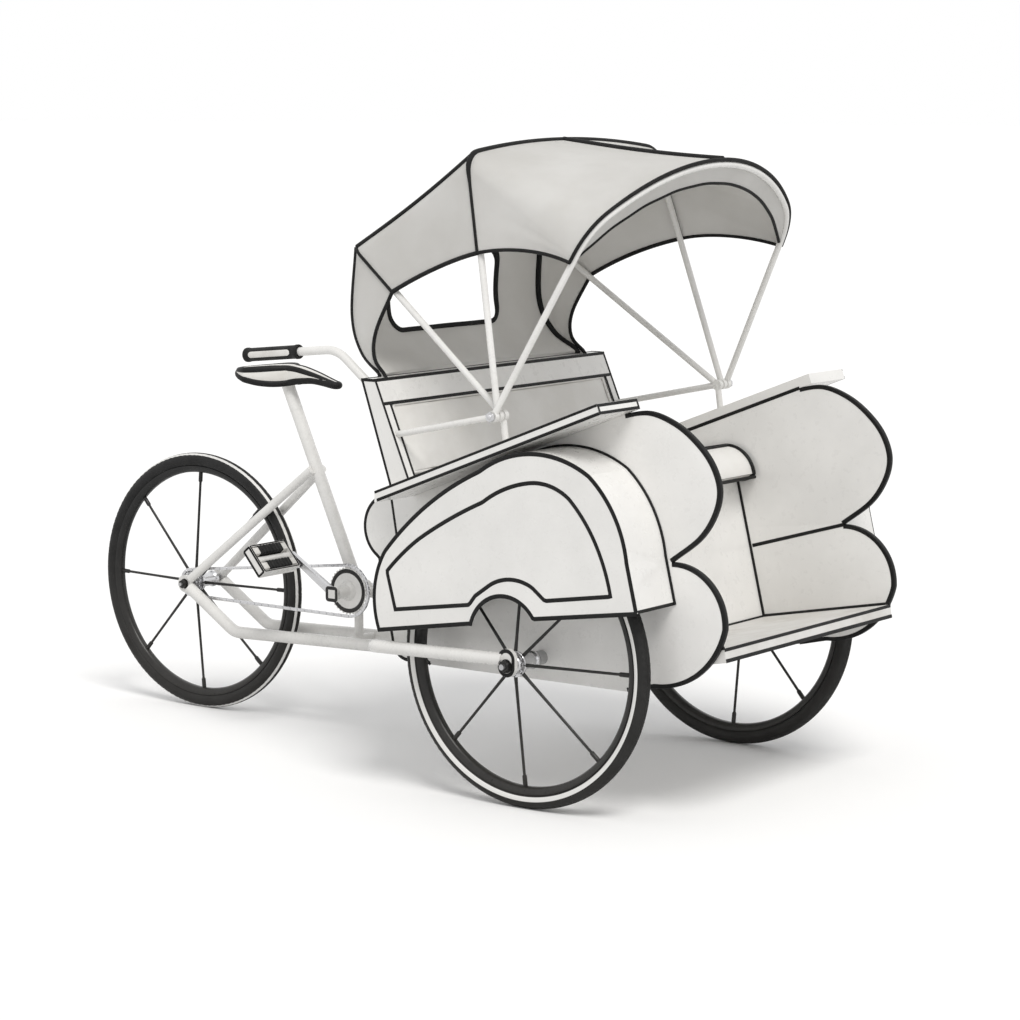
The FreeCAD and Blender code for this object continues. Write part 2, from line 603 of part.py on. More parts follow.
wall_steps = [
    ((ARM_BACK, LEDGE),),
    ((CREST_START, arm_line(CREST_START) - ARM_DROP),),
    (CREST_HIGH, CREST_NOSE),
    (CREST_LOW, CUSP),
    (BULGE_HIGH, BULGE_NOSE),
    (BULGE_LOW, BULGE_FOOT),
    ((WALL_BOTTOM_FRONT, BODY_BOTTOM),),
    ((WALL_BOTTOM_BACK, BODY_BOTTOM),),
    (WALL_BACK_FOOT,),
]
wall_start = (WALL_BACK_TOP, LEDGE)
for side, sign in SIDES:
    ends = sorted((sign * (WALL_Y - WALL_T), sign * WALL_Y))
    wall = slab(wall_start, wall_steps, ends[0], ends[1])
    wall = wall.cut(across(front_centre, ends[0], ends[1], FRONT_BEAM_D + 2 * BORE_CLEARANCE))
    keep("side_wall_" + side, wall)

guard_slope = (GUARD_FOOT_FRONT[1] - GUARD_FOOT_BACK[1]) / (GUARD_FOOT_FRONT[0] - GUARD_FOOT_BACK[0])
guard_steps = [GUARD_REAR, GUARD_RISE, GUARD_CROWN, GUARD_FALL, (GUARD_FOOT_FRONT,)]


def mudguard(sign):
    """A box open below: a flat outer face, and a band that follows its outline in to the wall."""
    outer = slab(GUARD_FOOT_BACK, guard_steps, WALL_Y, GUARD_Y)
    points = [tuple(at_cabin(place, WALL_Y) for place in step) for step in guard_steps]
    outline = Part.Face(wire_through(at_cabin(GUARD_FOOT_BACK, WALL_Y), points))
    core = outline.makeOffset2D(-SHEET_T).extrude(V(0, GUARD_Y - WALL_Y - SHEET_T, 0))
    below = core.copy()
    below.translate(V(0, 0, -2 * SHEET_T * math.hypot(1, guard_slope)))
    edge_over_axle = GUARD_FOOT_BACK[1] - GUARD_FOOT_BACK[0] * guard_slope
    notch = across(at_cabin((0, edge_over_axle - NOTCH_DROP), 0), WALL_Y, GUARD_Y, 2 * NOTCH_R)
    guard = outer.cut(core).cut(below).cut(notch)
    return guard if sign > 0 else mirrored(guard)


arm_front_foot = (ARM_FRONT + ARM_T * math.sin(math.radians(ARM_SLOPE)),
                  arm_line(ARM_FRONT) - ARM_T * math.cos(math.radians(ARM_SLOPE)))
armrests = {}
for side, sign in SIDES:
    keep("mudguard_" + side, mudguard(sign))
    ends = sorted((sign * (WALL_Y - WALL_T), sign * GUARD_Y))
    armrests[side] = slab((ARM_BACK, LEDGE),
                          [((ARM_BACK, arm_line(ARM_BACK)),), ((ARM_FRONT, arm_line(ARM_FRONT)),),
                           (arm_front_foot,)], ends[0], ends[1])
    armrests[side] = armrests[side].cut(PIECES["side_wall_" + side])
    keep("armrest_" + side, armrests[side])

inside = WALL_Y - WALL_T
floor_slope = (FLOOR_FRONT[1] - RISER_FOOT[1]) / (FLOOR_FRONT[0] - RISER_FOOT[0])
floor_lean = FLOOR_T * math.sin(math.atan(floor_slope))
floor_drop = FLOOR_T * math.cos(math.atan(floor_slope))
keep("floor_board", slab(RISER_FOOT, [(FLOOR_FRONT,),
                                      ((FLOOR_FRONT[0] + floor_lean, FLOOR_FRONT[1] - floor_drop),),
                                      ((RISER_FOOT[0] + floor_lean, RISER_FOOT[1] - floor_drop),)],
                         -inside, inside))

riser_run = math.hypot(RISER_TOP[0] - RISER_FOOT[0], RISER_TOP[1] - RISER_FOOT[1])
riser_back = BOARD_T * riser_run / (RISER_TOP[1] - RISER_FOOT[1])
seat_drop = BOARD_T / math.cos(math.radians(SEAT_SLOPE))
riser_lean = (RISER_FOOT[0] - RISER_TOP[0]) / (RISER_TOP[1] - RISER_FOOT[1])
seat_box = slab((SEAT_BACK, seat_line(SEAT_BACK)), [
    (RISER_TOP,),
    (RISER_FOOT,),
    ((RISER_FOOT[0] + riser_lean * (RISER_FOOT[1] - BODY_BOTTOM), BODY_BOTTOM),),
    ((RISER_FOOT[0] + riser_lean * (RISER_FOOT[1] - BODY_BOTTOM) - riser_back, BODY_BOTTOM),),
    ((RISER_TOP[0] - riser_back + riser_lean * seat_drop, RISER_TOP[1] - seat_drop),),
    ((SEAT_BACK, seat_line(SEAT_BACK) - seat_drop),),
], -inside, inside)
seat_box = seat_box.cut(PIECES["floor_board"])
keep("seat_box", seat_box)

back_steps = [
    ((BACK_BULGE_TOP, LEDGE),),
    (BACK_BULGE, BACK_WAIST),
    (BACK_FOOT,),
    (BACK_CORNER, (BACK_BOTTOM, BODY_BOTTOM)),
    ((WALL_BOTTOM_BACK, BODY_BOTTOM),),
    (WALL_BACK_FOOT,),
    (wall_start,),
]
ledge_front = backrest_x(BACKREST_REAR, LEDGE) + BACK_LEDGE
back_block = slab(wall_start, back_steps, -WALL_Y, WALL_Y)


def rear_panel():
    """A rounded sheet behind the seat, with closed ends, open towards the space below the seat."""
    steps = [tuple(at_cabin(place, -inside) for place in step) for step in back_steps]
    face = Part.Face(wire_through(at_cabin(wall_start, -inside), steps))
    core = face.makeOffset2D(-SHEET_T).extrude(V(0, 2 * inside, 0))
    forward = core.copy()
    forward.translate(V(4 * SHEET_T, 0, 0))
    panel = back_block.cut(core).cut(forward)
    ledge_back = WALL_BACK_TOP - SHEET_T
    ledge = slab((ledge_back, LEDGE), [((ledge_front, LEDGE),), ((ledge_front, LEDGE - SHEET_T),),
                                       ((ledge_back, LEDGE - SHEET_T),)], -inside, inside)
    bottom_back = WALL_BOTTOM_BACK - PANEL_LAP
    bottom_top = BODY_BOTTOM + SHEET_T
    bottom = slab((bottom_back, BODY_BOTTOM),
                  [((RISER_FOOT[0], BODY_BOTTOM),), ((RISER_FOOT[0], bottom_top),),
                   ((bottom_back, bottom_top),)],
                  -inside, inside)
    panel = panel.fuse(ledge).fuse(bottom)
    return panel.cut(PIECES["side_wall_right"]).cut(PIECES["side_wall_left"]).cut(seat_box)


keep("rear_panel", rear_panel())

# backrest
rear_top = backrest_x(BACKREST_REAR, BACKREST_TOP)
face_top = backrest_x(BACKREST_FACE, BACKREST_TOP)
rear_foot = backrest_x(BACKREST_REAR, LEDGE)
face_foot = backrest_x(BACKREST_FACE, LEDGE)
rail_foot = BACKREST_TOP - BACKREST_RAIL
top_edge = [((rear_top, BACKREST_TOP),), ((face_top, BACKREST_TOP),)]
backrest = slab((rear_foot, LEDGE),
                [((rear_top, BACKREST_TOP),), ((rear_top + BACKREST_BOARD_T, BACKREST_TOP),),
                 ((rear_foot + BACKREST_BOARD_T, LEDGE),)], -BACKREST_Y, BACKREST_Y)
backrest = backrest.fuse(slab((backrest_x(BACKREST_REAR, rail_foot), rail_foot),
                              top_edge + [((backrest_x(BACKREST_FACE, rail_foot), rail_foot),)],
                              -BACKREST_Y, BACKREST_Y))
for side, sign in SIDES:
    ends = sorted((sign * (BACKREST_Y - BACKREST_POST), sign * BACKREST_Y))
    backrest = backrest.fuse(slab((rear_foot, LEDGE), top_edge + [((face_foot, LEDGE),)], ends[0], ends[1]))
for side, sign in SIDES:
    # room for the armrest and the wall, from the armrest's rear end forward
    ends = sorted((sign * inside, sign * GUARD_Y))
    arm_room = [((ARM_BACK - ARM_T, arm_line(ARM_BACK)),), ((ARM_BACK, arm_line(ARM_BACK)),),
                ((ARM_FRONT, arm_line(ARM_FRONT)),), ((ARM_FRONT, LEDGE - ARM_T),)]
    backrest = backrest.cut(slab((ARM_BACK - ARM_T, LEDGE - ARM_T), arm_room, ends[0], ends[1]))
keep("backrest_frame", backrest)

cushion_half = BACKREST_Y - BACKREST_POST - CUSHION_SIDE_GAP
cushion_top = rail_foot - CUSHION_GAP
cushion_off = BACKREST_BOARD_T + CUSHION_GAP
keep("backrest_cushion", slab(
    (backrest_x(BACKREST_REAR, BACK_CUSHION_FOOT) + cushion_off, BACK_CUSHION_FOOT),
    [((backrest_x(BACKREST_REAR, cushion_top) + cushion_off, cushion_top),),
     ((backrest_x(BACKREST_FACE, cushion_top), cushion_top),),
     ((backrest_x(BACKREST_FACE, BACK_CUSHION_FOOT), BACK_CUSHION_FOOT),)], -cushion_half, cushion_half))

seat_half = inside - CUSHION_SIDE_GAP
seat_start = ledge_front + CUSHION_GAP
keep("seat_cushion", slab(
    (seat_start, seat_line(seat_start) + CUSHION_GAP),
    [((seat_start, CUSHION_TOP_BACK[1]),), (CUSHION_TOP_BACK,), (CUSHION_TOP_FRONT,),
     (CUSHION_BULGE, CUSHION_NOSE),
     (CUSHION_HEEL, (RISER_TOP[0], RISER_TOP[1] + CUSHION_GAP))],
    -seat_half, seat_half))

# centre tube, from the bottom bracket to the cabin's back
tube_z = SHELL_AT[1] - CENTRE_TUBE_DROP
back_at_tube = BACK_WAIST[0] + (BACK_FOOT[0] - BACK_WAIST[0]) * (BACK_WAIST[1] - tube_z) / (
    BACK_WAIST[1] - BACK_FOOT[1])
tube_start = at_rear((SHELL_AT[0], tube_z), 0)
tube_end = at_cabin((back_at_tube, tube_z), 0)
past_skin = tube_end + V(TUBE_FLANGE_T, 0, 0)
centre_tube = rod(tube_start, past_skin, CENTRE_TUBE_D)
centre_tube = centre_tube.fuse(rod(tube_end - V(TUBE_FLANGE_T, 0, 0), past_skin, TUBE_FLANGE_D))
keep("centre_tube", centre_tube.cut(shell).cut(seat_tube).cut(frame_post).cut(back_block))


# ---- handles ------------------------------------------------------------------------------------
def handle(sign):
    """A tube that leaves the backrest's back, rises and turns rearwards to the rider's grip."""
    y = sign * HANDLE_Y
    root = at_cabin(HANDLE_ROOT, y)
    crest = at_cabin(HANDLE_CREST, y)
    end = at_cabin(HANDLE_END, y)
    into = (root - crest).normalize()
    past_root = root + into * HANDLE_REACH
    tube = bent_tube([end, crest, past_root], HANDLE_D, HANDLE_BEND_R)
    behind = slab((rear_foot, LEDGE), [((rear_top, BACKREST_TOP),), ((0, BACKREST_TOP),), ((0, LEDGE),)],
                  -GUARD_Y, GUARD_Y)
    skin = behind.copy()
    skin.translate(V(-HANDLE_FLANGE_T, 0, 0))
    flange = rod(root - into * HANDLE_REACH, past_root, HANDLE_FLANGE_D).common(skin)
    along = (crest - end).normalize()
    sleeve = rod(end - along * GRIP_END, end + along * GRIP_LENGTH, GRIP_D)
    return tube.fuse(flange).cut(behind), sleeve.cut(rod(end, end + along * 2 * GRIP_LENGTH, HANDLE_D))


for side, sign in SIDES:
    handle_tube, grip = handle(sign)
    keep("handle_" + side, handle_tube)
    keep("grip_" + side, grip)


# ---- hood ---------------------------------------------------------------------------------------
def arch(bow, offset, r0):
    """Half a bow's arch, offset outwards: leg foot at r0, leg top, shoulder middle, crown start and top."""
    lean = bow["lean"]
    slant = math.hypot(1, lean)
    foot = bow["foot"] + offset * slant
    shoulder = bow["shoulder"] + offset
    crown = bow["crown"] + offset
    centre_r = bow["top"] - bow["crown"]
    # the shoulder's centre is shoulder from the leg's line and crown - shoulder from the crown's centre
    shift = foot - shoulder * slant
    a = 1 + lean * lean
    b = -2 * shift * lean - 2 * centre_r
    c = shift * shift + centre_r * centre_r - (crown - shoulder) ** 2
    r = (-b + math.sqrt(b * b - 4 * a * c)) / (2 * a)
    y = shift - lean * r
    leg_top = (y + shoulder / slant, r + shoulder * lean / slant)
    out = math.hypot(y, r - centre_r)
    crown_start = (y * crown / out, centre_r + (r - centre_r) * crown / out)
    aim = (leg_top[0] + crown_start[0] - 2 * y, leg_top[1] + crown_start[1] - 2 * r)
    length = math.hypot(*aim)
    middle = (y + shoulder * aim[0] / length, r + shoulder * aim[1] / length)
    return [(foot - lean * r0, r0), leg_top, middle, crown_start, (0, centre_r + crown)]


def arch_edges(points):
    """The whole arch as five edges, from the left foot over the crown to the right foot."""
    left = [V(0, y, r) for y, r in points]
    right = [V(0, -y, r) for y, r in points]
    return [
        Part.LineSegment(left[0], left[1]).toShape(),
        Part.Arc(left[1], left[2], left[3]).toShape(),
        Part.Arc(left[3], left[4], right[3]).toShape(),
        Part.Arc(right[3], right[2], right[1]).toShape(),
        Part.LineSegment(right[1], right[0]).toShape(),
    ]


def swung(shape, angle):
    """A shape made in the upright plane through the pivot line, swung forward by angle and put in place."""
    placed = shape.copy()
    placed.rotate(V(0, 0, 0), V(0, 1, 0), angle)
    placed.translate(at_cabin(PIVOT, 0))
    return placed


def bow_tube(bow, r_foot):
    """The bent tube of a bow, its legs starting at r_foot from the pivot."""
    points = arch(bow, 0, r_foot)
    path = Part.Wire(arch_edges(points))
    start = V(0, points[0][0], points[0][1])
    heading = V(0, points[1][0] - points[0][0], points[1][1] - points[0][1])
    circle = Part.Circle(start, heading, BOW_D / 2).toShape()
    return path.makePipeShell([Part.Wire([circle])], True, False)


def bow_eyes(bow, diameter):
    """The two eyes of a bow as plain discs."""
    eye = Part.makeCylinder(diameter / 2, EYE_WIDTH, V(0, bow["foot"] - EYE_WIDTH / 2, 0), V(0, 1, 0))
    return [eye, mirrored(eye)]


def panel_wire(bow, r_edge):
    """The closed section of the fabric in a bow's plane."""
    outer = arch_edges(arch(bow, FABRIC_OFF + FABRIC_T, r_edge))
    inner = arch_edges(arch(bow, FABRIC_OFF, r_edge))
    ends = []
    for index, vertex in ((0, 0), (4, 1)):
        a = outer[index].Vertexes[vertex].Point
        b = inner[index].Vertexes[vertex].Point
        ends.append(Part.LineSegment(a, b).toShape())
    edges = Part.__sortEdges__(outer + inner + ends)
    return swung(Part.Wire(edges), bow["angle"])


def fabric(*bows):
    """A sheet stretched straight from each bow's plane to the next."""
    return Part.makeLoft([panel_wire(bow, bow["edge"]) for bow in bows], True, True)


pivot_bores = across(V(0, 0, 0), -GUARD_Y, GUARD_Y, PIN_D + 2 * BORE_CLEARANCE)
for name in ("middle", "front"):
    bow = BOWS[name]
    keep("bow_" + name, swung(bow_tube(bow, 0).fuse(bow_eyes(bow, EYE_D)).cut(pivot_bores), bow["angle"]))
rear_bow = swung(bow_tube(BOWS["rear"], EYE_D / 2 - EYE_LAP), REAR_ANGLE)

pivot = at_cabin(PIVOT, 0)
for side, sign in SIDES:
    y = sign * FIXED_EYE_Y
    hub_ends = (y - EYE_WIDTH / 2, y + EYE_WIDTH / 2)
    bracket = across(pivot, hub_ends[0], hub_ends[1], EYE_D)
    pin_end = sign * (FIXED_EYE_Y + 2 * BOW_SLOT + PIN_ROOM)
    pin_ends = sorted((y, pin_end + sign * PIN_HEAD))
    head_ends = sorted((pin_end, pin_end + sign * PIN_HEAD))
    bracket = bracket.fuse(across(pivot, pin_ends[0], pin_ends[1], PIN_D))
    bracket = bracket.fuse(across(pivot, head_ends[0], head_ends[1], PIN_HEAD_D))
    centre = V(pivot.x, y, pivot.z)
    brace = rod(centre, at_cabin(BRACE_MEETS, y), BRACKET_TUBE_D)
    foot = at_cabin((BRACKET_FOOT, arm_line(BRACKET_FOOT) - ARM_DROP / 2), y)
    bracket = bracket.fuse(brace).fuse(rod(centre, foot, BRACKET_TUBE_D))
    bracket = bracket.cut(armrests[side]).cut(backrest)
    rear_bow = rear_bow.cut(bracket)
    keep("hood_bracket_" + side, bracket)
keep("bow_rear", rear_bow)

keep("hood_panel_rear", fabric(BOWS["rear"], BOWS["middle"]))
keep("hood_panel_front", fabric(BOWS["middle"], BOWS["front"]))

curtain = fabric(BOWS["rear"], *CURTAIN)
window_corner = at_cabin((PIVOT[0] - WHEELBASE, WINDOW_LOW), -WINDOW_HALF)
window = Part.makeBox(WHEELBASE, 2 * WINDOW_HALF, WINDOW_HIGH - WINDOW_LOW, window_corner)
window = window.makeFillet(WINDOW_R, [edge for edge in window.Edges
                                      if edge.Vertexes[0].Point.x != edge.Vertexes[1].Point.x])
curtain = curtain.cut(window)


def mitre(z, rise):
    """All above (below, for a negative rise) the 45 degree seams that leave the window's corners at z."""
    near = WINDOW_HALF - WINDOW_R
    far = near + abs(rise)
    corner = at_cabin((PIVOT[0] - WHEELBASE, z), 0)
    corners = [corner + V(0, y, up) for y, up in ((-near, 0), (near, 0), (far, rise), (-far, rise))]
    return Part.Face(Part.makePolygon(corners + corners[:1])).extrude(V(WHEELBASE, 0, 0))


# the curtain is sewn from four panels that meet at the window's corners
above_window = mitre(WINDOW_HIGH - WINDOW_R, WHEELBASE)
below_window = mitre(WINDOW_LOW + WINDOW_R, -WHEELBASE)
keep("hood_curtain_top", curtain.common(above_window))
keep("hood_curtain_bottom", curtain.common(below_window))
curtain_sides = curtain.cut(above_window).cut(below_window)
for side, sign in SIDES:
    half_corner = V(-WHEELBASE, min(0, sign * WHEELBASE), 0)
    half_space = Part.makeBox(2 * WHEELBASE, WHEELBASE, 2 * WHEELBASE, half_corner)
    keep("hood_curtain_" + side, curtain_sides.common(half_space))

valance_outline = arch_edges(arch(BOWS["front"], -BOW_D / 2 - CUSHION_GAP, BOWS["front"]["edge"]))
valance_outline.append(Part.LineSegment(valance_outline[4].Vertexes[1].Point,
                                        valance_outline[0].Vertexes[0].Point).toShape())
valance = Part.Face(Part.Wire(valance_outline)).extrude(V(VALANCE_T, 0, 0))
valance = valance.cut(Part.makeCylinder(VALANCE_R, VALANCE_T, V(0, 0, VALANCE_RISE - VALANCE_R), V(1, 0, 0)))
valance.translate(V(-VALANCE_T / 2, 0, 0))
keep("hood_valance", swung(valance, FRONT_ANGLE))

# ---- export -------------------------------------------------------------------------------------
back_end = -AXLE_Z
front_end = WHEELBASE + BULGE_NOSE[0]
shift = V(-(back_end + front_end) / 2, 0, 0)
os.makedirs("parts", exist_ok=True)
for name, shape in PIECES.items():
    placed = shape.copy()
    placed.translate(shift)
    placed.exportStep("parts/" + name + ".step")
    print(name, len(placed.Solids), round(placed.Volume / 1000, 1), placed.isValid())
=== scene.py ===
"""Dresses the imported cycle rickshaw: finishes, soft goods, running gear and trim, in a plain pale studio.

Everything is in metres in the model's own frame: +X is forward, +Y is the rider's left and +Z is up. Cabin
places are (forward, up) pairs from the front axle, and hood places are polar about the bows' pivot.
"""
import json
import logging
import math
from dataclasses import dataclass, field
from enum import Enum
from functools import partial
from typing import Optional, Sequence, Union

import bmesh
import bpy
import numpy as np
from mathutils import Matrix, Vector


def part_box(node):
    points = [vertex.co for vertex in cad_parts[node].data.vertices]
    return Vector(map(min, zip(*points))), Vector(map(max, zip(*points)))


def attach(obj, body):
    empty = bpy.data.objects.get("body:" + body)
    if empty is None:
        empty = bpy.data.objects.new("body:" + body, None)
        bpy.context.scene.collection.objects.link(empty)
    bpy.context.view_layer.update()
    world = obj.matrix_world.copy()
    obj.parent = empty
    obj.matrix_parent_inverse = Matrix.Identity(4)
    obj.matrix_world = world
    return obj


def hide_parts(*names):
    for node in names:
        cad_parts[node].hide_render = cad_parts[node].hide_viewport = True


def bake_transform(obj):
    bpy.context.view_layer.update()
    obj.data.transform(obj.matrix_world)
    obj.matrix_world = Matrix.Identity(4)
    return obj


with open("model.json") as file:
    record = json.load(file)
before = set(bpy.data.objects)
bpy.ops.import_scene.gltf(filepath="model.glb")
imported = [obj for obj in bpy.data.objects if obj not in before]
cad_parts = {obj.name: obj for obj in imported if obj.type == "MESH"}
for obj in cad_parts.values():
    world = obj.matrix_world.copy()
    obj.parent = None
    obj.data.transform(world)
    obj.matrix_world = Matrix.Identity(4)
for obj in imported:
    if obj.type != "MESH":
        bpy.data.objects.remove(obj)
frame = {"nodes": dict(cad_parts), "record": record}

LOG = logging.getLogger("rickshaw")
Array = np.ndarray
Colour = tuple[float, float, float, float]
Tree, Socket = bpy.types.NodeTree, bpy.types.NodeSocket

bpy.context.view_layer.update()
SIDES = (("right", -1), ("left", 1))


def middle_of(node: str) -> Array:
    """The centre (3,) of a node's box."""
    low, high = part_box(node)
    return (np.array(low) + np.array(high)) / 2


FRONT_AXLE = middle_of("front_axle")
REAR_AXLE = middle_of("rear_axle")
WHEEL_R = FRONT_AXLE[2]
SHELL = middle_of("crankset")
JOINTS = {joint["name"]: np.array(joint["pos_m"]) for joint in frame["record"]["behaviour"]["joints"]}
PIVOT = JOINTS["hood_middle_fold"]


# ---- finishes ----
def add_node(tree: Tree, kind: str, sockets: Optional[dict] = None, **settings: object) -> bpy.types.Node:
    """Adds a node, sets its properties, and sets or links its input sockets.

    Args:
        tree: the node tree.
        kind: the node's type name.
        sockets: input name or index to a value, or to an output socket to link.
        settings: properties of the node.

    Returns:
        The node.
    """
    item = tree.nodes.new(kind)
    for key, value in settings.items():
        setattr(item, key, value)
    for key, value in (sockets or {}).items():
        if isinstance(value, Socket):
            tree.links.new(value, item.inputs[key])
        else:
            item.inputs[key].default_value = value
    return item


def new_object(name: str, data: bpy.types.ID) -> bpy.types.Object:
    """A new object of the scene, at the origin.

    Args:
        name: its name.
        data: its mesh, lamp or camera.

    Returns:
        The object.
    """
    made = bpy.data.objects.new(name, data)
    bpy.context.scene.collection.objects.link(made)
    return made


def shade(tone: float, tint: Sequence[float] = (1.0, 1.0, 1.0)) -> Colour:
    """A grey of that tone, tinted."""
    return (tone * tint[0], tone * tint[1], tone * tint[2], 1.0)


class Grain(Enum):
    """What the fine relief of a finish looks like."""

    ORANGE_PEEL = "orange peel"
    PORES = "pores"
    WEAVE = "weave"
    BRUSHED = "brushed"
    PLANKS = "planks"


@dataclass(frozen=True)
class Finish:
    """One finish. Two colours drift into each other over the surface, a second, finer noise dulls it in
    patches, and a relief of its own kind goes to the normal.

    Attributes:
        name: the material's name.
        colour: the main colour, linear.
        drift: the colour it drifts to.
        drift_scale: how many drifts fit in a metre.
        gloss: roughness where it is cleanest.
        dull: roughness where it is dullest.
        metallic: 1 for bare metal.
        grain: the kind of relief.
        grain_scale: relief features per metre.
        grain_height: depth of the relief in metres.
        coat: weight of a clear coat.
        sheen: weight of the nap's sheen.
        shine: level of the mirror reflection, 0.5 being a plain plastic's.
        through: share of the light that a thin cloth lets through.
        grime: how far dust near the ground darkens it, from 0 to 1.
        band: name of the point attribute that turns the colour into line_and_highlight_colour, if it has
            one: the front tyres' white lines, and the rear tyre's pale shoulder stripes, a painted highlight.
        line_and_highlight_colour: that colour.
    """

    name: str
    colour: Colour
    drift: Colour
    drift_scale: float = 6.0
    gloss: float = 0.25
    dull: float = 0.45
    metallic: float = 0.0
    grain: Grain = Grain.ORANGE_PEEL
    grain_scale: float = 700.0
    grain_height: float = 0.00004
    coat: float = 0.0
    sheen: float = 0.0
    shine: float = 0.5
    through: float = 0.0
    grime: float = 0.0
    band: str = ""
    line_and_highlight_colour: Colour = (0.85, 0.84, 0.8, 1.0)

    def relief(self, tree: Tree, place: Socket) -> Socket:
        """The height of the fine relief, from 0 to 1.

        Args:
            tree: the material's tree.
            place: object coordinates.

        Returns:
            The height socket.
        """
        add = partial(add_node, tree)
        if self.grain is Grain.WEAVE:
            weave = {"Vector": add("ShaderNodeAttribute", attribute_name="cloth").outputs["Vector"],
                     "Scale": self.grain_scale, "Distortion": 0.6, "Detail": 1.0, "Detail Scale": 3.0}
            waves = [add("ShaderNodeTexWave", weave, bands_direction=axis) for axis in "XY"]
            threads = {index: wave.outputs["Fac"] for index, wave in enumerate(waves)}
            return add("ShaderNodeMath", threads, operation="MAXIMUM").outputs[0]
        if self.grain is Grain.PORES:
            pores = {"Vector": place, "Scale": self.grain_scale, "Randomness": 0.9}
            return add("ShaderNodeTexVoronoi", pores, feature="SMOOTH_F1").outputs["Distance"]
        stretch = {Grain.BRUSHED: (1.0, 0.06, 1.0), Grain.PLANKS: (0.05, 1.0, 1.0)}
        scale = stretch.get(self.grain, (1.0, 1.0, 1.0))
        turned = add("ShaderNodeMapping", {"Vector": place, "Scale": scale}).outputs[0]
        return add("ShaderNodeTexNoise", {"Vector": turned, "Scale": self.grain_scale, "Detail": 3.0,
                                          "Roughness": 0.55}).outputs["Fac"]

    def build(self) -> bpy.types.Material:
        """Makes the material, unless it is already made.

        Returns:
            The material.
        """
        made = bpy.data.materials.get(self.name)
        if made is not None:
            return made
        material = bpy.data.materials.new(self.name)
        material.use_nodes = True
        tree = material.node_tree
        add, shader = partial(add_node, tree), tree.nodes["Principled BSDF"]
        place = add("ShaderNodeTexCoord").outputs["Object"]
        drift = add("ShaderNodeTexNoise", {"Vector": place, "Scale": self.drift_scale, "Detail": 4.0,
                                           "Roughness": 0.6}).outputs["Fac"]
        steep = add("ShaderNodeMapRange", {"Value": drift, "From Min": 0.35, "From Max": 0.65})
        colour = self.mixed(tree, steep.outputs[0], self.colour, self.drift)
        patches = add("ShaderNodeTexNoise", {
            "Vector": place, "Scale": self.drift_scale * 7.0, "Detail": 6.0, "Roughness": 0.7}).outputs["Fac"]
        wear = add("ShaderNodeMapRange", {"Value": patches, "From Min": 0.3, "From Max": 0.75,
                                          "To Min": self.gloss, "To Max": self.dull})
        if self.grime > 0:
            height = add("ShaderNodeSeparateXYZ", {"Vector": place}).outputs["Z"]
            low = add("ShaderNodeMapRange", {"Value": height, "From Min": 0.55, "From Max": 0.12,
                                             "To Max": self.grime}).outputs[0]
            dust = add("ShaderNodeMath", {0: low, 1: patches}, operation="MULTIPLY").outputs[0]
            colour = self.mixed(tree, dust, colour, (0.3, 0.27, 0.23, 1.0))
        # The band is white paint on the front tyres, and a painted highlight on the rear tyre's shoulders.
        if self.band:
            stripe = add("ShaderNodeAttribute", attribute_name=self.band).outputs["Fac"]
            colour = self.mixed(tree, stripe, colour, self.line_and_highlight_colour)
        bump = add("ShaderNodeBump", {"Height": self.relief(tree, place), "Strength": 1.0,
                                      "Distance": self.grain_height}).outputs[0]
        for key, socket in (("Base Color", colour), ("Roughness", wear.outputs[0]), ("Normal", bump)):
            tree.links.new(socket, shader.inputs[key])
        for key, value in (("Metallic", self.metallic), ("Coat Weight", self.coat),
                           ("Sheen Weight", self.sheen), ("Specular IOR Level", self.shine)):
            shader.inputs[key].default_value = value
        if self.through > 0:
            cloth = add("ShaderNodeBsdfTranslucent", {"Color": colour, "Normal": bump}).outputs[0]
            both = add("ShaderNodeMixShader", {0: self.through, 1: shader.outputs[0], 2: cloth}).outputs[0]
            tree.links.new(both, tree.nodes["Material Output"].inputs["Surface"])
        return material

    @staticmethod
    def mixed(tree: Tree, share: Socket,
              first: Union[Colour, Socket], second: Colour) -> Socket:
        """The first colour mixed with a share, from 0 to 1, of the second."""
        return add_node(tree, "ShaderNodeMix", {0: share, 6: first, 7: second}, data_type="RGBA").outputs[2]


WARM = (1.0, 0.99, 0.965)
CREAM = (1.0, 0.985, 0.95)
COLD = (1.0, 1.0, 1.02)
BODY_ENAMEL = Finish(
    "body enamel", shade(0.85, WARM), shade(0.79, WARM), gloss=0.22, dull=0.42, coat=0.35, grime=0.25)
FRAME_ENAMEL = Finish(
    "frame enamel", shade(0.84, WARM), shade(0.77, WARM), drift_scale=14.0, gloss=0.2, dull=0.4, coat=0.3,
    grime=0.35)
HOOD_ENAMEL = Finish(
    "hood iron enamel", shade(0.82, WARM), shade(0.76, WARM), drift_scale=12.0, gloss=0.2, dull=0.38,
    coat=0.3)
BLACK_BEAD = Finish(
    "black beading", shade(0.006), shade(0.012), gloss=0.35, dull=0.6, grain=Grain.PORES, grain_scale=900.0,
    shine=0.2)
BLACK_ENAMEL = Finish(
    "black enamel", shade(0.008), shade(0.014), drift_scale=18.0, gloss=0.25, dull=0.5, coat=0.1, shine=0.3,
    grime=0.1)
PLATED = Finish(
    "plated steel", shade(0.72, COLD), shade(0.62, COLD), drift_scale=20.0, gloss=0.16, dull=0.34,
    metallic=1.0, grain=Grain.BRUSHED, grain_scale=900.0, grain_height=0.00002)
MACHINED = Finish(
    "machined steel", shade(0.56, COLD), shade(0.45), drift_scale=25.0, gloss=0.28, dull=0.5, metallic=1.0,
    grain=Grain.BRUSHED, grain_scale=700.0, grain_height=0.00003)
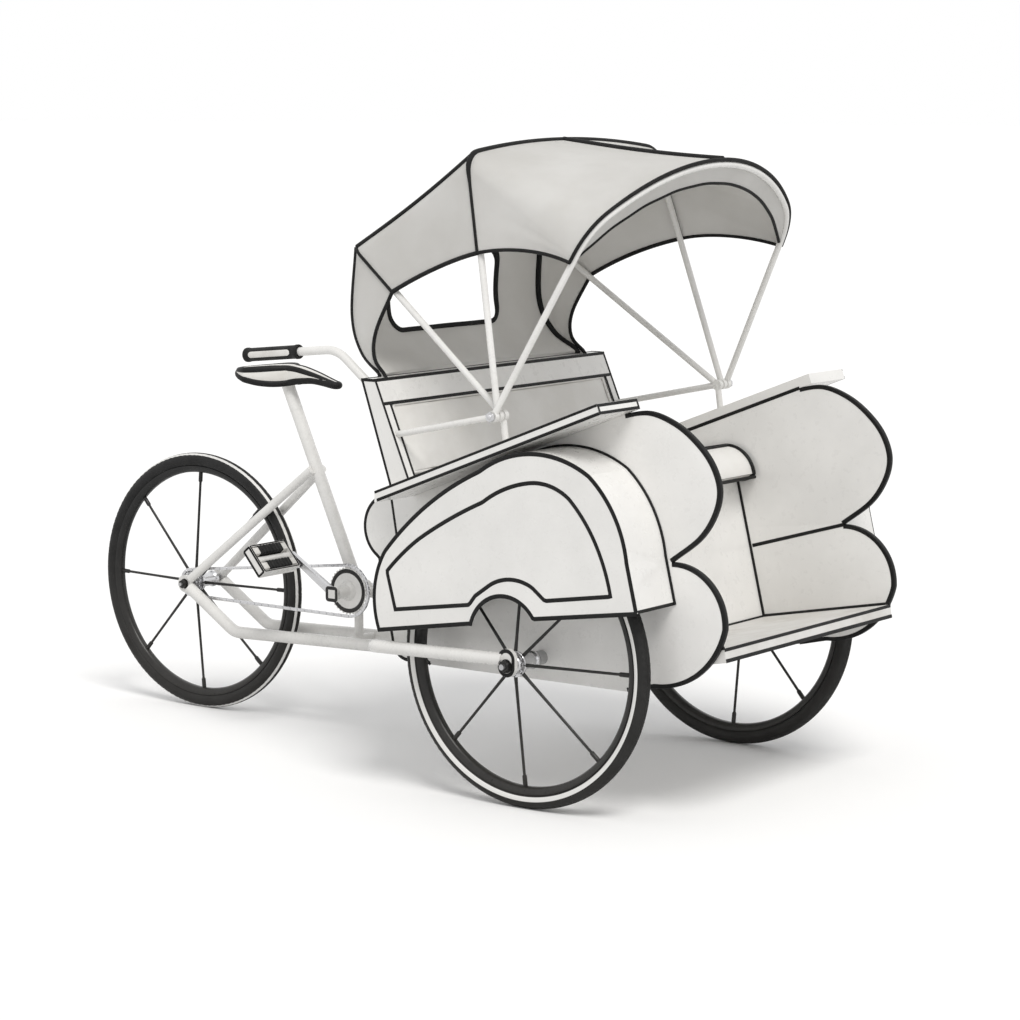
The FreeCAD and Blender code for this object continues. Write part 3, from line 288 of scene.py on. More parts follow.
# Its band colour is the front tyres' white line, and on the rear tyre's shoulders a painted highlight.
TYRE_RUBBER = Finish(
    "tyre rubber", shade(0.008), shade(0.016), drift_scale=16.0, gloss=0.42, dull=0.7, grain=Grain.PORES,
    grain_scale=600.0, grain_height=0.00008, shine=0.28, grime=0.07, band="band",
    line_and_highlight_colour=shade(0.8, WARM))
BLOCK_RUBBER = Finish(
    "black rubber", shade(0.007), shade(0.014), gloss=0.45, dull=0.75, grain=Grain.PORES, grain_scale=700.0,
    grain_height=0.0001, shine=0.25)
GRIP_RUBBER = Finish(
    "pale rubber", shade(0.78, CREAM), shade(0.68, (1.0, 0.975, 0.93)), drift_scale=30.0, gloss=0.45,
    dull=0.65, grain=Grain.PORES, grain_scale=800.0, grain_height=0.00008)
SADDLE_COVER = Finish(
    "pale saddle cover", shade(0.8, CREAM), shade(0.71, (1.0, 0.975, 0.92)), drift_scale=12.0, gloss=0.38,
    dull=0.6, grain=Grain.PORES, grain_scale=420.0, grain_height=0.00015)
LEATHERCLOTH = Finish(
    "ivory leathercloth", shade(0.83, (1.0, 0.988, 0.96)), shade(0.75, (1.0, 0.98, 0.94)), drift_scale=7.0,
    gloss=0.36, dull=0.58, grain=Grain.PORES, grain_scale=380.0, grain_height=0.00018)
CANVAS = Finish(
    "coated canvas", shade(0.84, WARM), shade(0.77, CREAM), drift_scale=4.0, gloss=0.62, dull=0.85,
    grain=Grain.WEAVE, grain_scale=240.0, grain_height=0.00025, sheen=0.15, through=0.3)
BINDING = Finish(
    "black binding tape", shade(0.007), shade(0.013), drift_scale=30.0, gloss=0.6, dull=0.85,
    grain=Grain.PORES, grain_scale=1200.0, grain_height=0.0001, sheen=0.04, shine=0.2)
BOARDS = Finish(
    "painted boards", shade(0.74, WARM), shade(0.62, (1.0, 0.97, 0.92)), drift_scale=9.0, gloss=0.4,
    dull=0.65, grain=Grain.PLANKS, grain_scale=260.0, grain_height=0.0003, grime=0.3)


# ---- shapes ----
def ray(turn: Array) -> Array:
    """Unit vectors (..., 2) at those turns."""
    return np.stack((np.cos(turn), np.sin(turn)), axis=-1)


def unit(vectors: Array) -> Array:
    """Vectors along the last axis, each divided by its own length."""
    return vectors / np.linalg.norm(vectors, axis=-1, keepdims=True)


def arc(start: Sequence[float], way: Sequence[float], end: Sequence[float], count: int) -> Array:
    """Points on the circle through three places: its centre is where the chords' bisectors meet, and the
    angle runs evenly from start by way of way to end.

    Args:
        start, way, end: places (2,).
        count: how many points.

    Returns:
        Points (count, 2).
    """
    start, way, end = np.array((start, way, end), float)
    lines = 2 * np.array((way - start, end - start))
    centre = np.linalg.solve(lines, (np.sum(way**2) - np.sum(start**2), np.sum(end**2) - np.sum(start**2)))
    radius = np.linalg.norm(start - centre)
    angles = np.arctan2(*(np.array((start, way, end)) - centre).T[::-1])
    to_way, to_end = np.mod(angles[1:] - angles[0], 2 * np.pi)
    turn = to_end if to_way < to_end else to_end - 2 * np.pi
    return centre + radius * ray(angles[0] + turn * np.linspace(0, 1, count))


def outline(start: Sequence[float], steps: Sequence[tuple], arc_points: int = 17) -> Array:
    """A polyline from start: a step of one place is a straight, and of two an arc by way of the first.

    Args:
        start: the first place.
        steps: the steps.
        arc_points: points on each arc.

    Returns:
        Places (n, 2).
    """
    runs = [np.array([start], float)]
    for step in steps:
        runs.append(np.array(step, float) if len(step) == 1 else arc(runs[-1][-1], *step, arc_points)[1:])
    return np.concatenate(runs)


def cabin(places: Array, across: float) -> Array:
    """Cabin places (..., 2), forward of and above the front axle, as points (..., 3) at y = across."""
    ahead, up = np.moveaxis(np.asarray(places, float), -1, 0)
    return np.stack((FRONT_AXLE[0] + ahead, np.full_like(ahead, across), FRONT_AXLE[2] + up), axis=-1)


def at_y(places: Array, y: float) -> Array:
    """Places (..., 2), as (x, z), as points (..., 3) at y."""
    return np.insert(np.asarray(places, float), 1, y, axis=-1)


def lengths_along(path: Array) -> Array:
    """The length of a path up to each of its points (n,)."""
    return np.concatenate(([0.0], np.cumsum(np.linalg.norm(np.diff(path, axis=0), axis=1))))


def through(knots: Array, marks: Array) -> Array:
    """A Catmull-Rom curve: at mark i + t, with a, b, c and d the knots i to i + 3, it is half of
    2 b + (c - a) t + (2 a - 5 b + 4 c - d) t^2 + (3 b - a - 3 c + d) t^3.

    Args:
        knots: points or rows of points (n, ..., axes), of which the first and the last only give direction.
        marks: where it is read, from 0 to n - 3.

    Returns:
        Its points (marks, ..., axes).
    """
    index = np.minimum(marks.astype(int), len(knots) - 4)
    t = (marks - index).reshape((-1,) + (1,) * (knots.ndim - 1))
    a, b, c, d = (knots[index + step] for step in range(4))
    return 0.5 * (2 * b + (c - a) * t + (2 * a - 5 * b + 4 * c - d) * t**2 + (3 * b - a - 3 * c + d) * t**3)


def spaced(path: Array, step: float) -> Array:
    """A path resampled evenly along its length, keeping its ends.

    Args:
        path: points (n, axes).
        step: the distance between samples.

    Returns:
        Points (m, axes).
    """
    lengths = lengths_along(path)
    marks = np.linspace(0, lengths[-1], max(2, int(round(lengths[-1] / step)) + 1))
    return np.stack([np.interp(marks, lengths, path[:, axis]) for axis in range(path.shape[1])], axis=-1)


def crossbar(place: Array, tips: Sequence[float]) -> Array:
    """The straight path across at a cabin place, between two places in Y."""
    return spaced(np.array([cabin(place, y) for y in tips]), 0.02)


def looped(corners: Sequence[Array], step: float) -> Array:
    """A closed line round corners, resampled evenly, whose last point isn't its first."""
    return spaced(np.array([*corners, corners[0]]), step)[:-1]


def oval(half_width: float, half_height: float, count: int = 12) -> Array:
    """An ellipse: the first axis is across the sweep's side, the second along its normal."""
    return ray(np.linspace(0, 2 * np.pi, count, endpoint=False)) * (half_width, half_height)


def rounded_box(half_width: float, half_height: float, radius: float, corner: int = 4) -> Array:
    """A rectangle with round corners: each corner's arc turns a quarter about its own centre.

    Args:
        half_width, half_height: half its sides.
        radius: its corners' radius.
        corner: points on each corner.

    Returns:
        Places (4 * corner, 2).
    """
    quarter = np.linspace(0, np.pi / 2, corner)
    turns = np.concatenate([quarter + index * np.pi / 2 for index in range(4)])
    signs = np.repeat(np.array(((1, 1), (-1, 1), (-1, -1), (1, -1))), corner, axis=0)
    centres = signs * (half_width - radius, half_height - radius)
    return centres + radius * ray(turns)


def sweep(path: Array, profile: Array, across: Sequence[float], closed: bool = False,
          scale: Optional[Array] = None) -> Array:
    """Carries a closed profile along a path. A point's second axis is the tangent crossed with across,
    stretched by one over the cosine of half the corner's turn, and its first axis is across itself.

    Args:
        path: points (n, 3).
        profile: places (m, 2).
        across: a direction never along the path, (3,) or (n, 3).
        closed: whether the path's end joins its start.
        scale: the profile's size at each point (n,).

    Returns:
        A grid (n, m, 3).
    """
    path = np.asarray(path, float)
    ends = np.roll(path, -1, axis=0) - path
    if not closed:
        ends[-1] = ends[-2]
    ahead = unit(ends)
    behind = np.roll(ahead, 1, axis=0)
    if not closed:
        behind[0] = ahead[0]
    side = np.broadcast_to(np.asarray(across, float), path.shape)
    normal_ahead = unit(np.cross(ahead, side))
    normal_behind = unit(np.cross(behind, side))
    both = np.sum(normal_ahead * normal_behind, axis=1, keepdims=True)
    normal = (normal_ahead + normal_behind) / np.maximum(1 + both, 0.4)
    first = unit(np.cross(unit(normal), unit(ahead + behind)))
    size = np.ones(len(path)) if scale is None else scale
    profile = profile[None] * size[:, None, None]
    return path[:, None] + profile[..., :1] * first[:, None] + profile[..., 1:] * normal[:, None]


def lathe(profile: Array, centre: Array, count: int) -> Array:
    """Turns a closed profile about the Y axis through centre: a place is (radius, y).

    Args:
        profile: places (m, 2).
        centre: a point on the axis.
        count: sections in a full turn.

    Returns:
        A grid (count, m, 3).
    """
    turn = np.linspace(0, 2 * np.pi, count, endpoint=False)[:, None]
    radius, along = profile[None, :, 0], np.broadcast_to(profile[None, :, 1], (count, len(profile)))
    return centre + np.stack((radius * np.cos(turn), along, radius * np.sin(turn)), axis=-1)


@dataclass
class Piece:
    """Collects surfaces into one mesh, and gives it a finish and a body."""

    name: str
    points: list[Array] = field(default_factory=list)
    faces: list[Array] = field(default_factory=list)
    fields: dict[str, list[Array]] = field(default_factory=dict)
    count: int = 0

    def add(self, points: Array, faces: Sequence[Array], **fields: Array) -> "Piece":
        """Adds points and faces that index them.

        Args:
            points: points (n, 3).
            faces: arrays of faces, (k, corners) each.
            fields: values for each point, (n,) or (n, 3).

        Returns:
            The piece.
        """
        self.points.append(points.reshape(-1, 3))
        self.faces.extend(face + self.count for face in faces if len(face))
        for key, value in fields.items():
            self.fields.setdefault(key, []).append(value.reshape(len(self.points[-1]), -1))
        self.count += len(self.points[-1])
        return self

    def grid(self, grid: Array, wrap_rows: bool = False, wrap_columns: bool = False, caps: bool = False,
             hub: Optional[Array] = None, **fields: Array) -> "Piece":
        """Adds a grid of points as quads.

        Args:
            grid: points (rows, columns, 3).
            wrap_rows: whether the last row joins the first.
            wrap_columns: whether the last column joins the first.
            caps: whether the first and last rows are closed with a fan about their middle.
            hub: the fans' middle as (x, z), where the rows' own mean lies outside their outline.
            fields: values for each point.

        Returns:
            The piece.
        """
        rows, columns = grid.shape[:2]
        index = np.arange(rows * columns).reshape(rows, columns)
        down = np.roll(index, -1, axis=0) if wrap_rows else index[1:]
        here = index if wrap_rows else index[:-1]
        if wrap_columns:
            quads = np.stack((here, down, np.roll(down, -1, axis=1), np.roll(here, -1, axis=1)), axis=-1)
        else:
            quads = np.stack((here[:, :-1], down[:, :-1], down[:, 1:], here[:, 1:]), axis=-1)
        points, faces = grid.reshape(-1, 3), [quads.reshape(-1, 4)]
        if caps:
            middles = np.stack((grid[0].mean(axis=0), grid[-1].mean(axis=0)))
            if hub is not None:
                middles[:, [0, 2]] = hub
            for ring, middle in ((index[0], rows * columns), (index[-1], rows * columns + 1)):
                faces.append(np.stack((ring, np.roll(ring, -1), np.full(columns, middle)), axis=-1))
            points = np.concatenate((points, middles))
            fields = {key: np.concatenate((value.reshape(rows * columns, -1), value.reshape(
                rows, columns, -1)[[0, -1]].mean(axis=1))) for key, value in fields.items()}
        return self.add(points, faces, **fields)

    def tube(self, path: Array, radius: float, across: Sequence[float], closed: bool = False, count: int = 12,
             scale: Optional[Array] = None) -> "Piece":
        """Adds a round bar along a path."""
        return self.line(path, oval(radius, radius, count), across, closed, scale)

    def solid(self, grid: Array, hub: Optional[Array] = None) -> "Piece":
        """Adds a row of rings that is closed at both ends."""
        return self.grid(grid, False, True, True, hub)

    def hoop(self, grid: Array, **fields: Array) -> "Piece":
        """Adds a row of rings whose last joins its first."""
        return self.grid(grid, True, True, **fields)

    def line(self, path: Array, profile: Array, across: Sequence[float], closed: bool = False,
             scale: Optional[Array] = None) -> "Piece":
        """Adds a profile carried along a path, closed at the path's ends."""
        return self.grid(sweep(path, profile, across, closed, scale), closed, True, not closed)

    def copies(self, shape: "Piece", moved: Array) -> "Piece":
        """Adds a small shape many times.

        Args:
            shape: the shape, at the origin.
            moved: a matrix for each time (k, 4, 4).

        Returns:
            The piece.
        """
        points = np.concatenate(shape.points)
        placed = np.einsum("kij,nj->kni", moved[:, :3, :3], points) + moved[:, None, :3, 3]
        shift = (np.arange(len(moved)) * len(points))[:, None, None]
        return self.add(placed, [(face[None] + shift).reshape(-1, face.shape[1]) for face in shape.faces])

    def finish(self, coat: Finish, body: Union[str, tuple], slot: str, stands_for: Sequence[str] = (),
               sharp: float = 40.0, outward: bool = True) -> bpy.types.Object:
        """Makes the object.

        Args:
            coat: its finish.
            slot: not used.
            stands_for: nodes that it replaces.
            sharp: edges that turn more than this many degrees stay sharp.
            outward: whether to point the faces of closed shells outwards.

        Returns:
            The object.
        """
        mesh = bpy.data.meshes.new(self.name)
        faces = [corners for block in self.faces for corners in block.tolist()]
        mesh.from_pydata(np.concatenate(self.points).tolist(), [], faces)
        if outward:
            working = bmesh.new()
            working.from_mesh(mesh)
            bmesh.ops.recalc_face_normals(working, faces=working.faces)
            working.to_mesh(mesh)
            working.free()
        for key, values in self.fields.items():
            data = np.concatenate(values).astype(np.float32)
            if data.shape[1] == 1:
                mesh.attributes.new(key, "FLOAT", "POINT").data.foreach_set("value", data.ravel())
            else:
                mesh.attributes.new(key, "FLOAT_VECTOR", "POINT").data.foreach_set("vector", data.ravel())
        mesh.polygons.foreach_set("use_smooth", np.ones(len(mesh.polygons), bool))
        mesh.set_sharp_from_angle(angle=math.radians(sharp))
        mesh.materials.append(coat.build())
        mesh.update()
        piece = new_object(self.name, mesh)
        if isinstance(body, tuple):
            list(body)
            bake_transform(piece)
        else:
            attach(piece, body)
        if stands_for:
            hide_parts(*stands_for)
        LOG.info("%s: %d faces", self.name, len(mesh.polygons))
        return piece


def about_y(ways: Array, centres: Array) -> Array:
    """Matrices that turn a shape about Y and then move it.

    Args:
        ways: what +X turns to, unit vectors (n, 2) as (x, z).
        centres: where the origin goes, (3,) or (n, 3).

    Returns:
        Matrices (n, 4, 4).
    """
    moved = np.tile(np.eye(4), (len(ways), 1, 1))
    cos, sin = ways.T
    moved[:, 0, 0], moved[:, 0, 2], moved[:, 2, 0], moved[:, 2, 2] = cos, -sin, sin, cos
    moved[:, :3, 3] = centres
    return moved


def spun(count: int, centre: Array) -> Array:
    """Matrices (count, 4, 4) that turn evenly about +Y, from +X towards +Z, and then move to centre."""
    return about_y(ray(np.arange(count) * 2 * np.pi / count), centre)


# ---- studio ----
@dataclass
class Studio:
    """The camera, a plain pale floor and soft light.

    Attributes:
        place: where the camera stands.
        heading: the way it looks, in degrees from +X.
        drop: how far it looks down, in degrees.
        roll: its turn about its own line of sight, in degrees.
        lens: its focal length in millimetres, on a 36 mm sensor.
        sky: brightness of the even light from all round.
        sun: strength of the soft key light.
        sun_from: the direction that the key light comes from.
        floor_size: half the floor's side.
    """

    place: tuple = (4.92133, -6.25543, 1.70157)
    heading: float = 126.72
    drop: float = 7.77
    roll: float = -0.13
    lens: float = 108.74
    sky: float = 0.68
    sun: float = 1.6
    sun_from: tuple = (0.75, -0.55, 1.25)
    floor_size: float = 120.0

    def camera(self) -> None:
        """Sets the camera up: its axes are the line of sight, its level right and their cross product."""
        turn, drop = math.radians(self.heading), math.radians(self.drop)
        sight = Vector((math.cos(turn) * math.cos(drop), math.sin(turn) * math.cos(drop), -math.sin(drop)))
        right = sight.cross(Vector((0, 0, 1))).normalized()
        up = right.cross(sight)
        axes = Matrix((right, up, -sight)).transposed().to_4x4()
        data = bpy.data.cameras.new("camera")
        data.lens = self.lens
        data.sensor_width = 36.0
        camera = new_object("camera", data)
        rolled = axes @ Matrix.Rotation(math.radians(self.roll), 4, "Z")
        camera.matrix_world = Matrix.Translation(self.place) @ rolled
        bpy.context.scene.camera = camera

    def floor(self) -> None:
        """Lays the floor. Rays from the camera see it brighter, so that it reads white round the shadow."""
        mesh = bpy.data.meshes.new("floor")
        corners = self.floor_size * np.array(((-1, -1, 0), (1, -1, 0), (1, 1, 0), (-1, 1, 0)), float)
        mesh.from_pydata(corners.tolist(), [], [(0, 1, 2, 3)])
        material = bpy.data.materials.new("pale floor")
        material.use_nodes = True
        tree = material.node_tree
        tree.nodes.clear()
        seen = add_node(tree, "ShaderNodeLightPath").outputs["Is Camera Ray"]
        place = add_node(tree, "ShaderNodeTexCoord").outputs["Object"]
        grain = add_node(tree, "ShaderNodeTexNoise", {"Vector": place, "Scale": 3.0, "Detail": 5.0})
        tone = Finish.mixed(tree, grain.outputs["Fac"], shade(0.8), shade(0.76))
        lit = Finish.mixed(tree, seen, tone, shade(1.0))
        flat = add_node(tree, "ShaderNodeBsdfDiffuse", {"Color": lit})
        add_node(tree, "ShaderNodeOutputMaterial", {"Surface": flat.outputs[0]})
        mesh.materials.append(material)
        new_object("floor", mesh)

    def light(self) -> None:
        """Lights the scene: an even sky, which the camera and mirrors see as white, and one soft sun."""
        world = bpy.data.worlds.new("studio")
        bpy.context.scene.world = world
        world.use_nodes = True
        tree = world.node_tree
        sky = tree.nodes["Background"]
        ray_kind = add_node(tree, "ShaderNodeLightPath").outputs
        kinds = {0: ray_kind["Is Camera Ray"], 1: ray_kind["Is Glossy Ray"]}
        seen = add_node(tree, "ShaderNodeMath", kinds, operation="MAXIMUM").outputs[0]
        tree.links.new(Finish.mixed(tree, seen, shade(self.sky), shade(1.0)), sky.inputs["Color"])
        sky.inputs["Strength"].default_value = 1.0
        data = bpy.data.lights.new("sun", "SUN")
        data.energy = self.sun
        data.angle = math.radians(24.0)
        data.color = (1.0, 0.985, 0.96)
        new_object("sun", data).rotation_euler = Vector(self.sun_from).to_track_quat("Z", "Y").to_euler()

    def build(self) -> None:
        """Sets everything up, and the plain view transform."""
        self.camera()
        self.floor()
        self.light()
        bpy.context.scene.view_settings.view_transform = "Standard"


class Bodywork:
    """The CAD pieces that keep their own shape, with their finishes."""

    FINISHES = (
        (BODY_ENAMEL, ("side_wall", "mudguard", "rear_panel", "seat_box", "backrest_frame", "armrest")),
        (FRAME_ENAMEL, ("lower_rail", "seat_stay", "seat_tube", "rail_bridge", "frame_post", "centre_tube",
                        "handle_", "pedal_right_frame", "pedal_left_frame")),
        (MACHINED, ("front_axle", "rear_axle")),
        (HOOD_ENAMEL, ("bow_", "hood_bracket")),
        (BOARDS, ("floor_board",)),
    )

    def build(self) -> None:
        """Puts each finish on its pieces."""
        for coat, names in self.FINISHES:
            for name, piece in frame["nodes"].items():
                if name.startswith(names):
                    for place in piece.material_slots:
                        place.link = "OBJECT"
                        place.material = coat.build()
                    LOG.info("%s: %s", name, coat.name)


# ---- wheels ----
@dataclass
class Wheel:
    """A wheel on its own body: a grooved tyre, a rim, stout spokes and a turned hub.

    Attributes:
        name: the start of its nodes' names.
        side: the side that its dish and white line are on, -1 for right.
        dish: the flange's distance from the wheel's plane.
        hub_in: the hub's length on the other side.
        hub_out: the hub's length on the dish's side.
        axle_r: the axle's radius.
        lined: whether the outer sidewall has a white line; if not, both shoulders have a pale stripe that
        is a painted highlight.
        tyre_r: the tube's radius.
        rim_in, rim_out, rim_half: the rim's radii and half its width.
        line: (inner, outer) radius of the sidewall's line.
        shoulder: where the shoulders' painted highlight stripes start and end, in degrees from the middle of
        the tread.
        groove, groove_half: depth and half-width of the tread's grooves.
        zigzag_s, sipe_s: the zigzags' and the short cuts' way from the middle of the tread.
    """

    name: str
    side: int
    dish: float = 0.04
    hub_in: float = 0.038
    hub_out: float = 0.052
    axle_r: float = 0.007
    lined: bool = True
    tyre_r: float = 0.02
    rim_in: float = 0.302
    rim_out: float = 0.32
    rim_half: float = 0.015
    line: tuple = (0.3245, 0.3355)
    shoulder: tuple = (20.0, 42.0)
    hub_r: float = 0.022
    flange_r: float = 0.032
    flange_t: float = 0.008
    spokes: int = 8
    spoke_r: float = 0.004
    groove: float = 0.0011
    groove_half: float = 0.0011
    zigzag_s: float = 0.0052
    sipe_s: float = 0.0135

    @property
    def centre(self) -> Array:
        """The wheel's centre: the middle of its tyre's box."""
        return middle_of(self.name + "_tyre")

    @property
    def body(self) -> str:
        """The body that it rides on."""
        return self.name + "_wheel"

    def tyre(self) -> None:
        """The tyre: a torus whose tube radius is R - groove * g(s, t), with s the way across the tread and t
        the turn. With d the distance from the middle of the tread or from its zigzags, |s| = zigzag_s +
        zigzag(t), g is clip((groove_half - d) / 0.5 mm, 0, 1), and 0.8 in short cuts over the shoulders."""
        mid_r = WHEEL_R - self.tyre_r
        edges = np.degrees(np.arccos((np.array(self.line) - mid_r) / self.tyre_r))
        tread = np.concatenate((np.arange(0, 27, 1.5), np.arange(27, 60, 3)))
        # Without a white line the band sits on both shoulders: pale stripes that paint a highlight.
        marks = edges if self.lined else np.array(self.shoulder[::-1])
        wall = np.concatenate((np.arange(60, 180, 7.5), marks - 0.4, marks + 0.4))
        half = np.unique(np.concatenate((tread, wall)))
        around = np.radians(np.concatenate((-half[:0:-1], half, (180.0,))))
        turn = np.linspace(0, 2 * np.pi, 480, endpoint=False)[:, None]
        across = self.tyre_r * around[None]
        zigzag = 0.0012 * (2 * np.abs(2 * np.mod(turn * 60 / (2 * np.pi), 1) - 1) - 1)
        cuts = np.minimum(np.abs(np.abs(across) - self.zigzag_s - zigzag), np.abs(across) * 1.3)
        open_now = np.mod(turn * 120 / (2 * np.pi), 1) < 0.3
        sipes = (np.abs(np.abs(across) - self.sipe_s) < 0.0042) & open_now
        depth = self.groove * np.maximum(np.clip((self.groove_half - cuts) / 0.0005, 0, 1), sipes * 0.8)
        tube = self.tyre_r - depth
        radius = mid_r + tube * np.cos(around)[None]
        beside = self.side * tube * np.sin(around)[None]
        grid = self.centre + np.stack((radius * np.cos(turn), beside, radius * np.sin(turn)), axis=-1)
        # band is 1 on the white line, or on the rear tyre's painted highlight stripes.
        section = np.degrees(around if self.lined else np.abs(around))
        lined = (section > marks[1] - 0.1) & (section < marks[0] + 0.1)
        band = np.broadcast_to(lined[None], radius.shape).astype(float)
        Piece(self.name + "_tyre_tread").hoop(grid, band=band).finish(
            TYRE_RUBBER, self.body, "tyre", [self.name + "_tyre"], sharp=35.0)

    def rim(self) -> None:
        """The rim, turned from its section, and its spokes: rods that swell at both ends."""
        out, wide, shoulder = self.rim_out, self.rim_half, self.rim_in + 0.0045
        flange, bed = wide - 0.0024, out - 0.0095
        half = np.array(((out, flange), (out, wide), (out - 0.0055, wide), (shoulder, wide - 0.0035),
                         (self.rim_in, 0.0055)))
        inner = np.array(((bed, 0.0062), (bed + 0.0025, flange - 0.0012)))
        section = np.concatenate((half, half[::-1] * (1, -1), inner[::-1] * (1, -1), inner))
        rim = Piece(self.name + "_rim_and_spokes").hoop(lathe(section, self.centre, 288))
        root = np.array((self.flange_r - 0.009, self.side * self.dish, 0.0))
        tip = np.array((self.rim_in + 0.004, 0.0, 0.0))
        share = np.array((0, 0.015, 0.03, 0.1, 0.5, 0.885, 0.9, 0.975, 1.0))
        swell = np.array((1.5, 1.5, 1.2, 1.0, 0.88, 0.88, 1.45, 1.45, 1.3))
        path = root + share[:, None] * (tip - root)
        rod = sweep(path, oval(self.spoke_r, self.spoke_r), (0, 0, 1), scale=swell)
        spoke = Piece("spoke").solid(rod)
        rim.copies(spoke, spun(self.spokes, self.centre))
        rim.finish(BLACK_ENAMEL, self.body, "rim_paint", [self.name + "_rim"])

    def hub(self) -> None:
        """The hub, turned from its section: a waisted barrel, a flange, stepped ends and a bore."""
        bore, barrel, flange, half = self.axle_r + 0.0003, self.hub_r, self.flange_r, self.flange_t / 2
        low, high, dish = -self.hub_in, self.hub_out, self.dish
        steps = [(bore, low), (barrel - 0.006, low), (barrel - 0.004, low + 0.002),
                 (barrel - 0.004, low + 0.006), (barrel, low + 0.008), (barrel, low + 0.014),
                 (barrel - 0.0035, low + 0.018), (barrel - 0.0035, dish - 0.016), (barrel, dish - 0.012),
                 (barrel + 0.001, dish - half), (flange - 0.001, dish - half),
                 (flange, dish - half + 0.001), (flange, dish + half - 0.001),
                 (flange - 0.001, dish + half), (barrel, dish + half), (barrel - 0.002, high - 0.003),
                 (barrel - 0.006, high), (bore, high)]
        section = np.array(steps) * (1, self.side)
        hub = Piece(self.name + "_hub_barrel").hoop(lathe(section, self.centre, 96))
        head = hexagon(0.01, 0.0035, 0.0) + (flange - 0.009, dish + half, 0.0)
        bolt = Piece("bolt").solid(head * (1, self.side, 1))
        hub.copies(bolt, spun(self.spokes, self.centre))
        hub.finish(PLATED, self.body, "wheel_steel", [self.name + "_hub"])

    def build(self) -> None:
        """Makes the whole wheel."""
        self.tyre()
        self.rim()
        self.hub()


def hexagon(flats: float, thick: float, chamfer: float) -> Array:
    """A hexagon head or nut along +Y from the origin. At turn a its radius is (flats / 2) / cos(a'), with a'
    the turn from the nearest flat's middle, and both faces are circles a little smaller than its flats.

    Args:
        flats: the width across the flats.
        thick: its height.
        chamfer: the least height of the slope from a face to the flats.

    Returns:
        A grid of rings (4, 48, 3).
    """
    turn = np.linspace(0, 2 * np.pi, 48, endpoint=False)
    flat = flats / 2 / np.cos(np.mod(turn + np.pi / 6, np.pi / 3) - np.pi / 6)
    face, slope = np.full(48, 0.98 * flats / 2), max(chamfer, thick * 0.12)
    radius = np.stack((face, flat, flat, face))
    along = np.broadcast_to(np.array((0.0, slope, thick - slope, thick))[:, None], radius.shape)
    return np.stack((radius * np.cos(turn), along, radius * np.sin(turn)), axis=-1)


# ---- hood ----
@dataclass(frozen=True)
class Bow:
    """A bow, or a section of the curtain: an arch in a plane through the pivot line. In that plane y is
    across and r is out from the pivot, and the plane leans forward by angle from upright.

    Attributes:
        angle: the lean, in degrees.
        foot: y of a leg at r = 0.
        lean: how far in a leg comes for each unit of r.
        top: r of the crown.
        crown: radius of the crown's arc.
        shoulder: radius of the arc where leg and crown meet.
        edge: r of the cloth's lower edge.
    """

    angle: float
    foot: float
    lean: float
    top: float
    crown: float
    shoulder: float
    edge: float
    counts: tuple = (16, 12, 48)

    def arch(self, offset: float, start: float) -> Array:
        """The whole arch, offset outwards, from the left foot at r = start over the crown to the right one.
        A leg is the line y = foot - lean * r. The shoulder's centre lies a shoulder's radius inside that
        line, and the crown's radius less the shoulder's from the crown's centre, which settles its place.

        Args:
            offset: how far outside the bow's centre line.
            start: r of the legs' lower ends.

        Returns:
            Places (n, 2), as (y, r).
        """
        slant = math.hypot(1, self.lean)
        foot = self.foot + offset * slant
        shoulder, crown, centre = self.shoulder + offset, self.crown + offset, self.top - self.crown
        shift = foot - shoulder * slant
        first = 1 + self.lean**2
        second = -2 * (shift * self.lean + centre)
        third = shift**2 + centre**2 - (crown - shoulder) ** 2
        r = (-second + math.sqrt(second**2 - 4 * first * third)) / (2 * first)
        y = shift - self.lean * r
        leg_top = np.array((y + shoulder / slant, r + shoulder * self.lean / slant))
        out = math.atan2(r - centre, y)
        low = math.atan2(self.lean, 1)
        leg = np.linspace((foot - self.lean * start, start), leg_top, self.counts[0])
        bend = (y, r) + shoulder * ray(np.linspace(low, out, self.counts[1])[1:])
        cap = (0, centre) + crown * ray(np.linspace(out, math.pi / 2, self.counts[2])[1:])
        half = np.concatenate((leg, bend, cap))
        return np.concatenate((half, half[-2::-1] * (-1, 1)))

    def placed(self, places: Array) -> Array:
        """Points (n, 3) of places in the bow's plane: x = r sin(angle), z = r cos(angle) from the pivot."""
        turn, (y, r) = math.radians(self.angle), places.T
        return PIVOT + np.stack((r * math.sin(turn), y, r * math.cos(turn)), axis=-1)

    @property
    def across(self) -> tuple:
        """The direction square to the bow's plane."""
        turn = math.radians(self.angle)
        return (math.cos(turn), 0.0, -math.sin(turn))


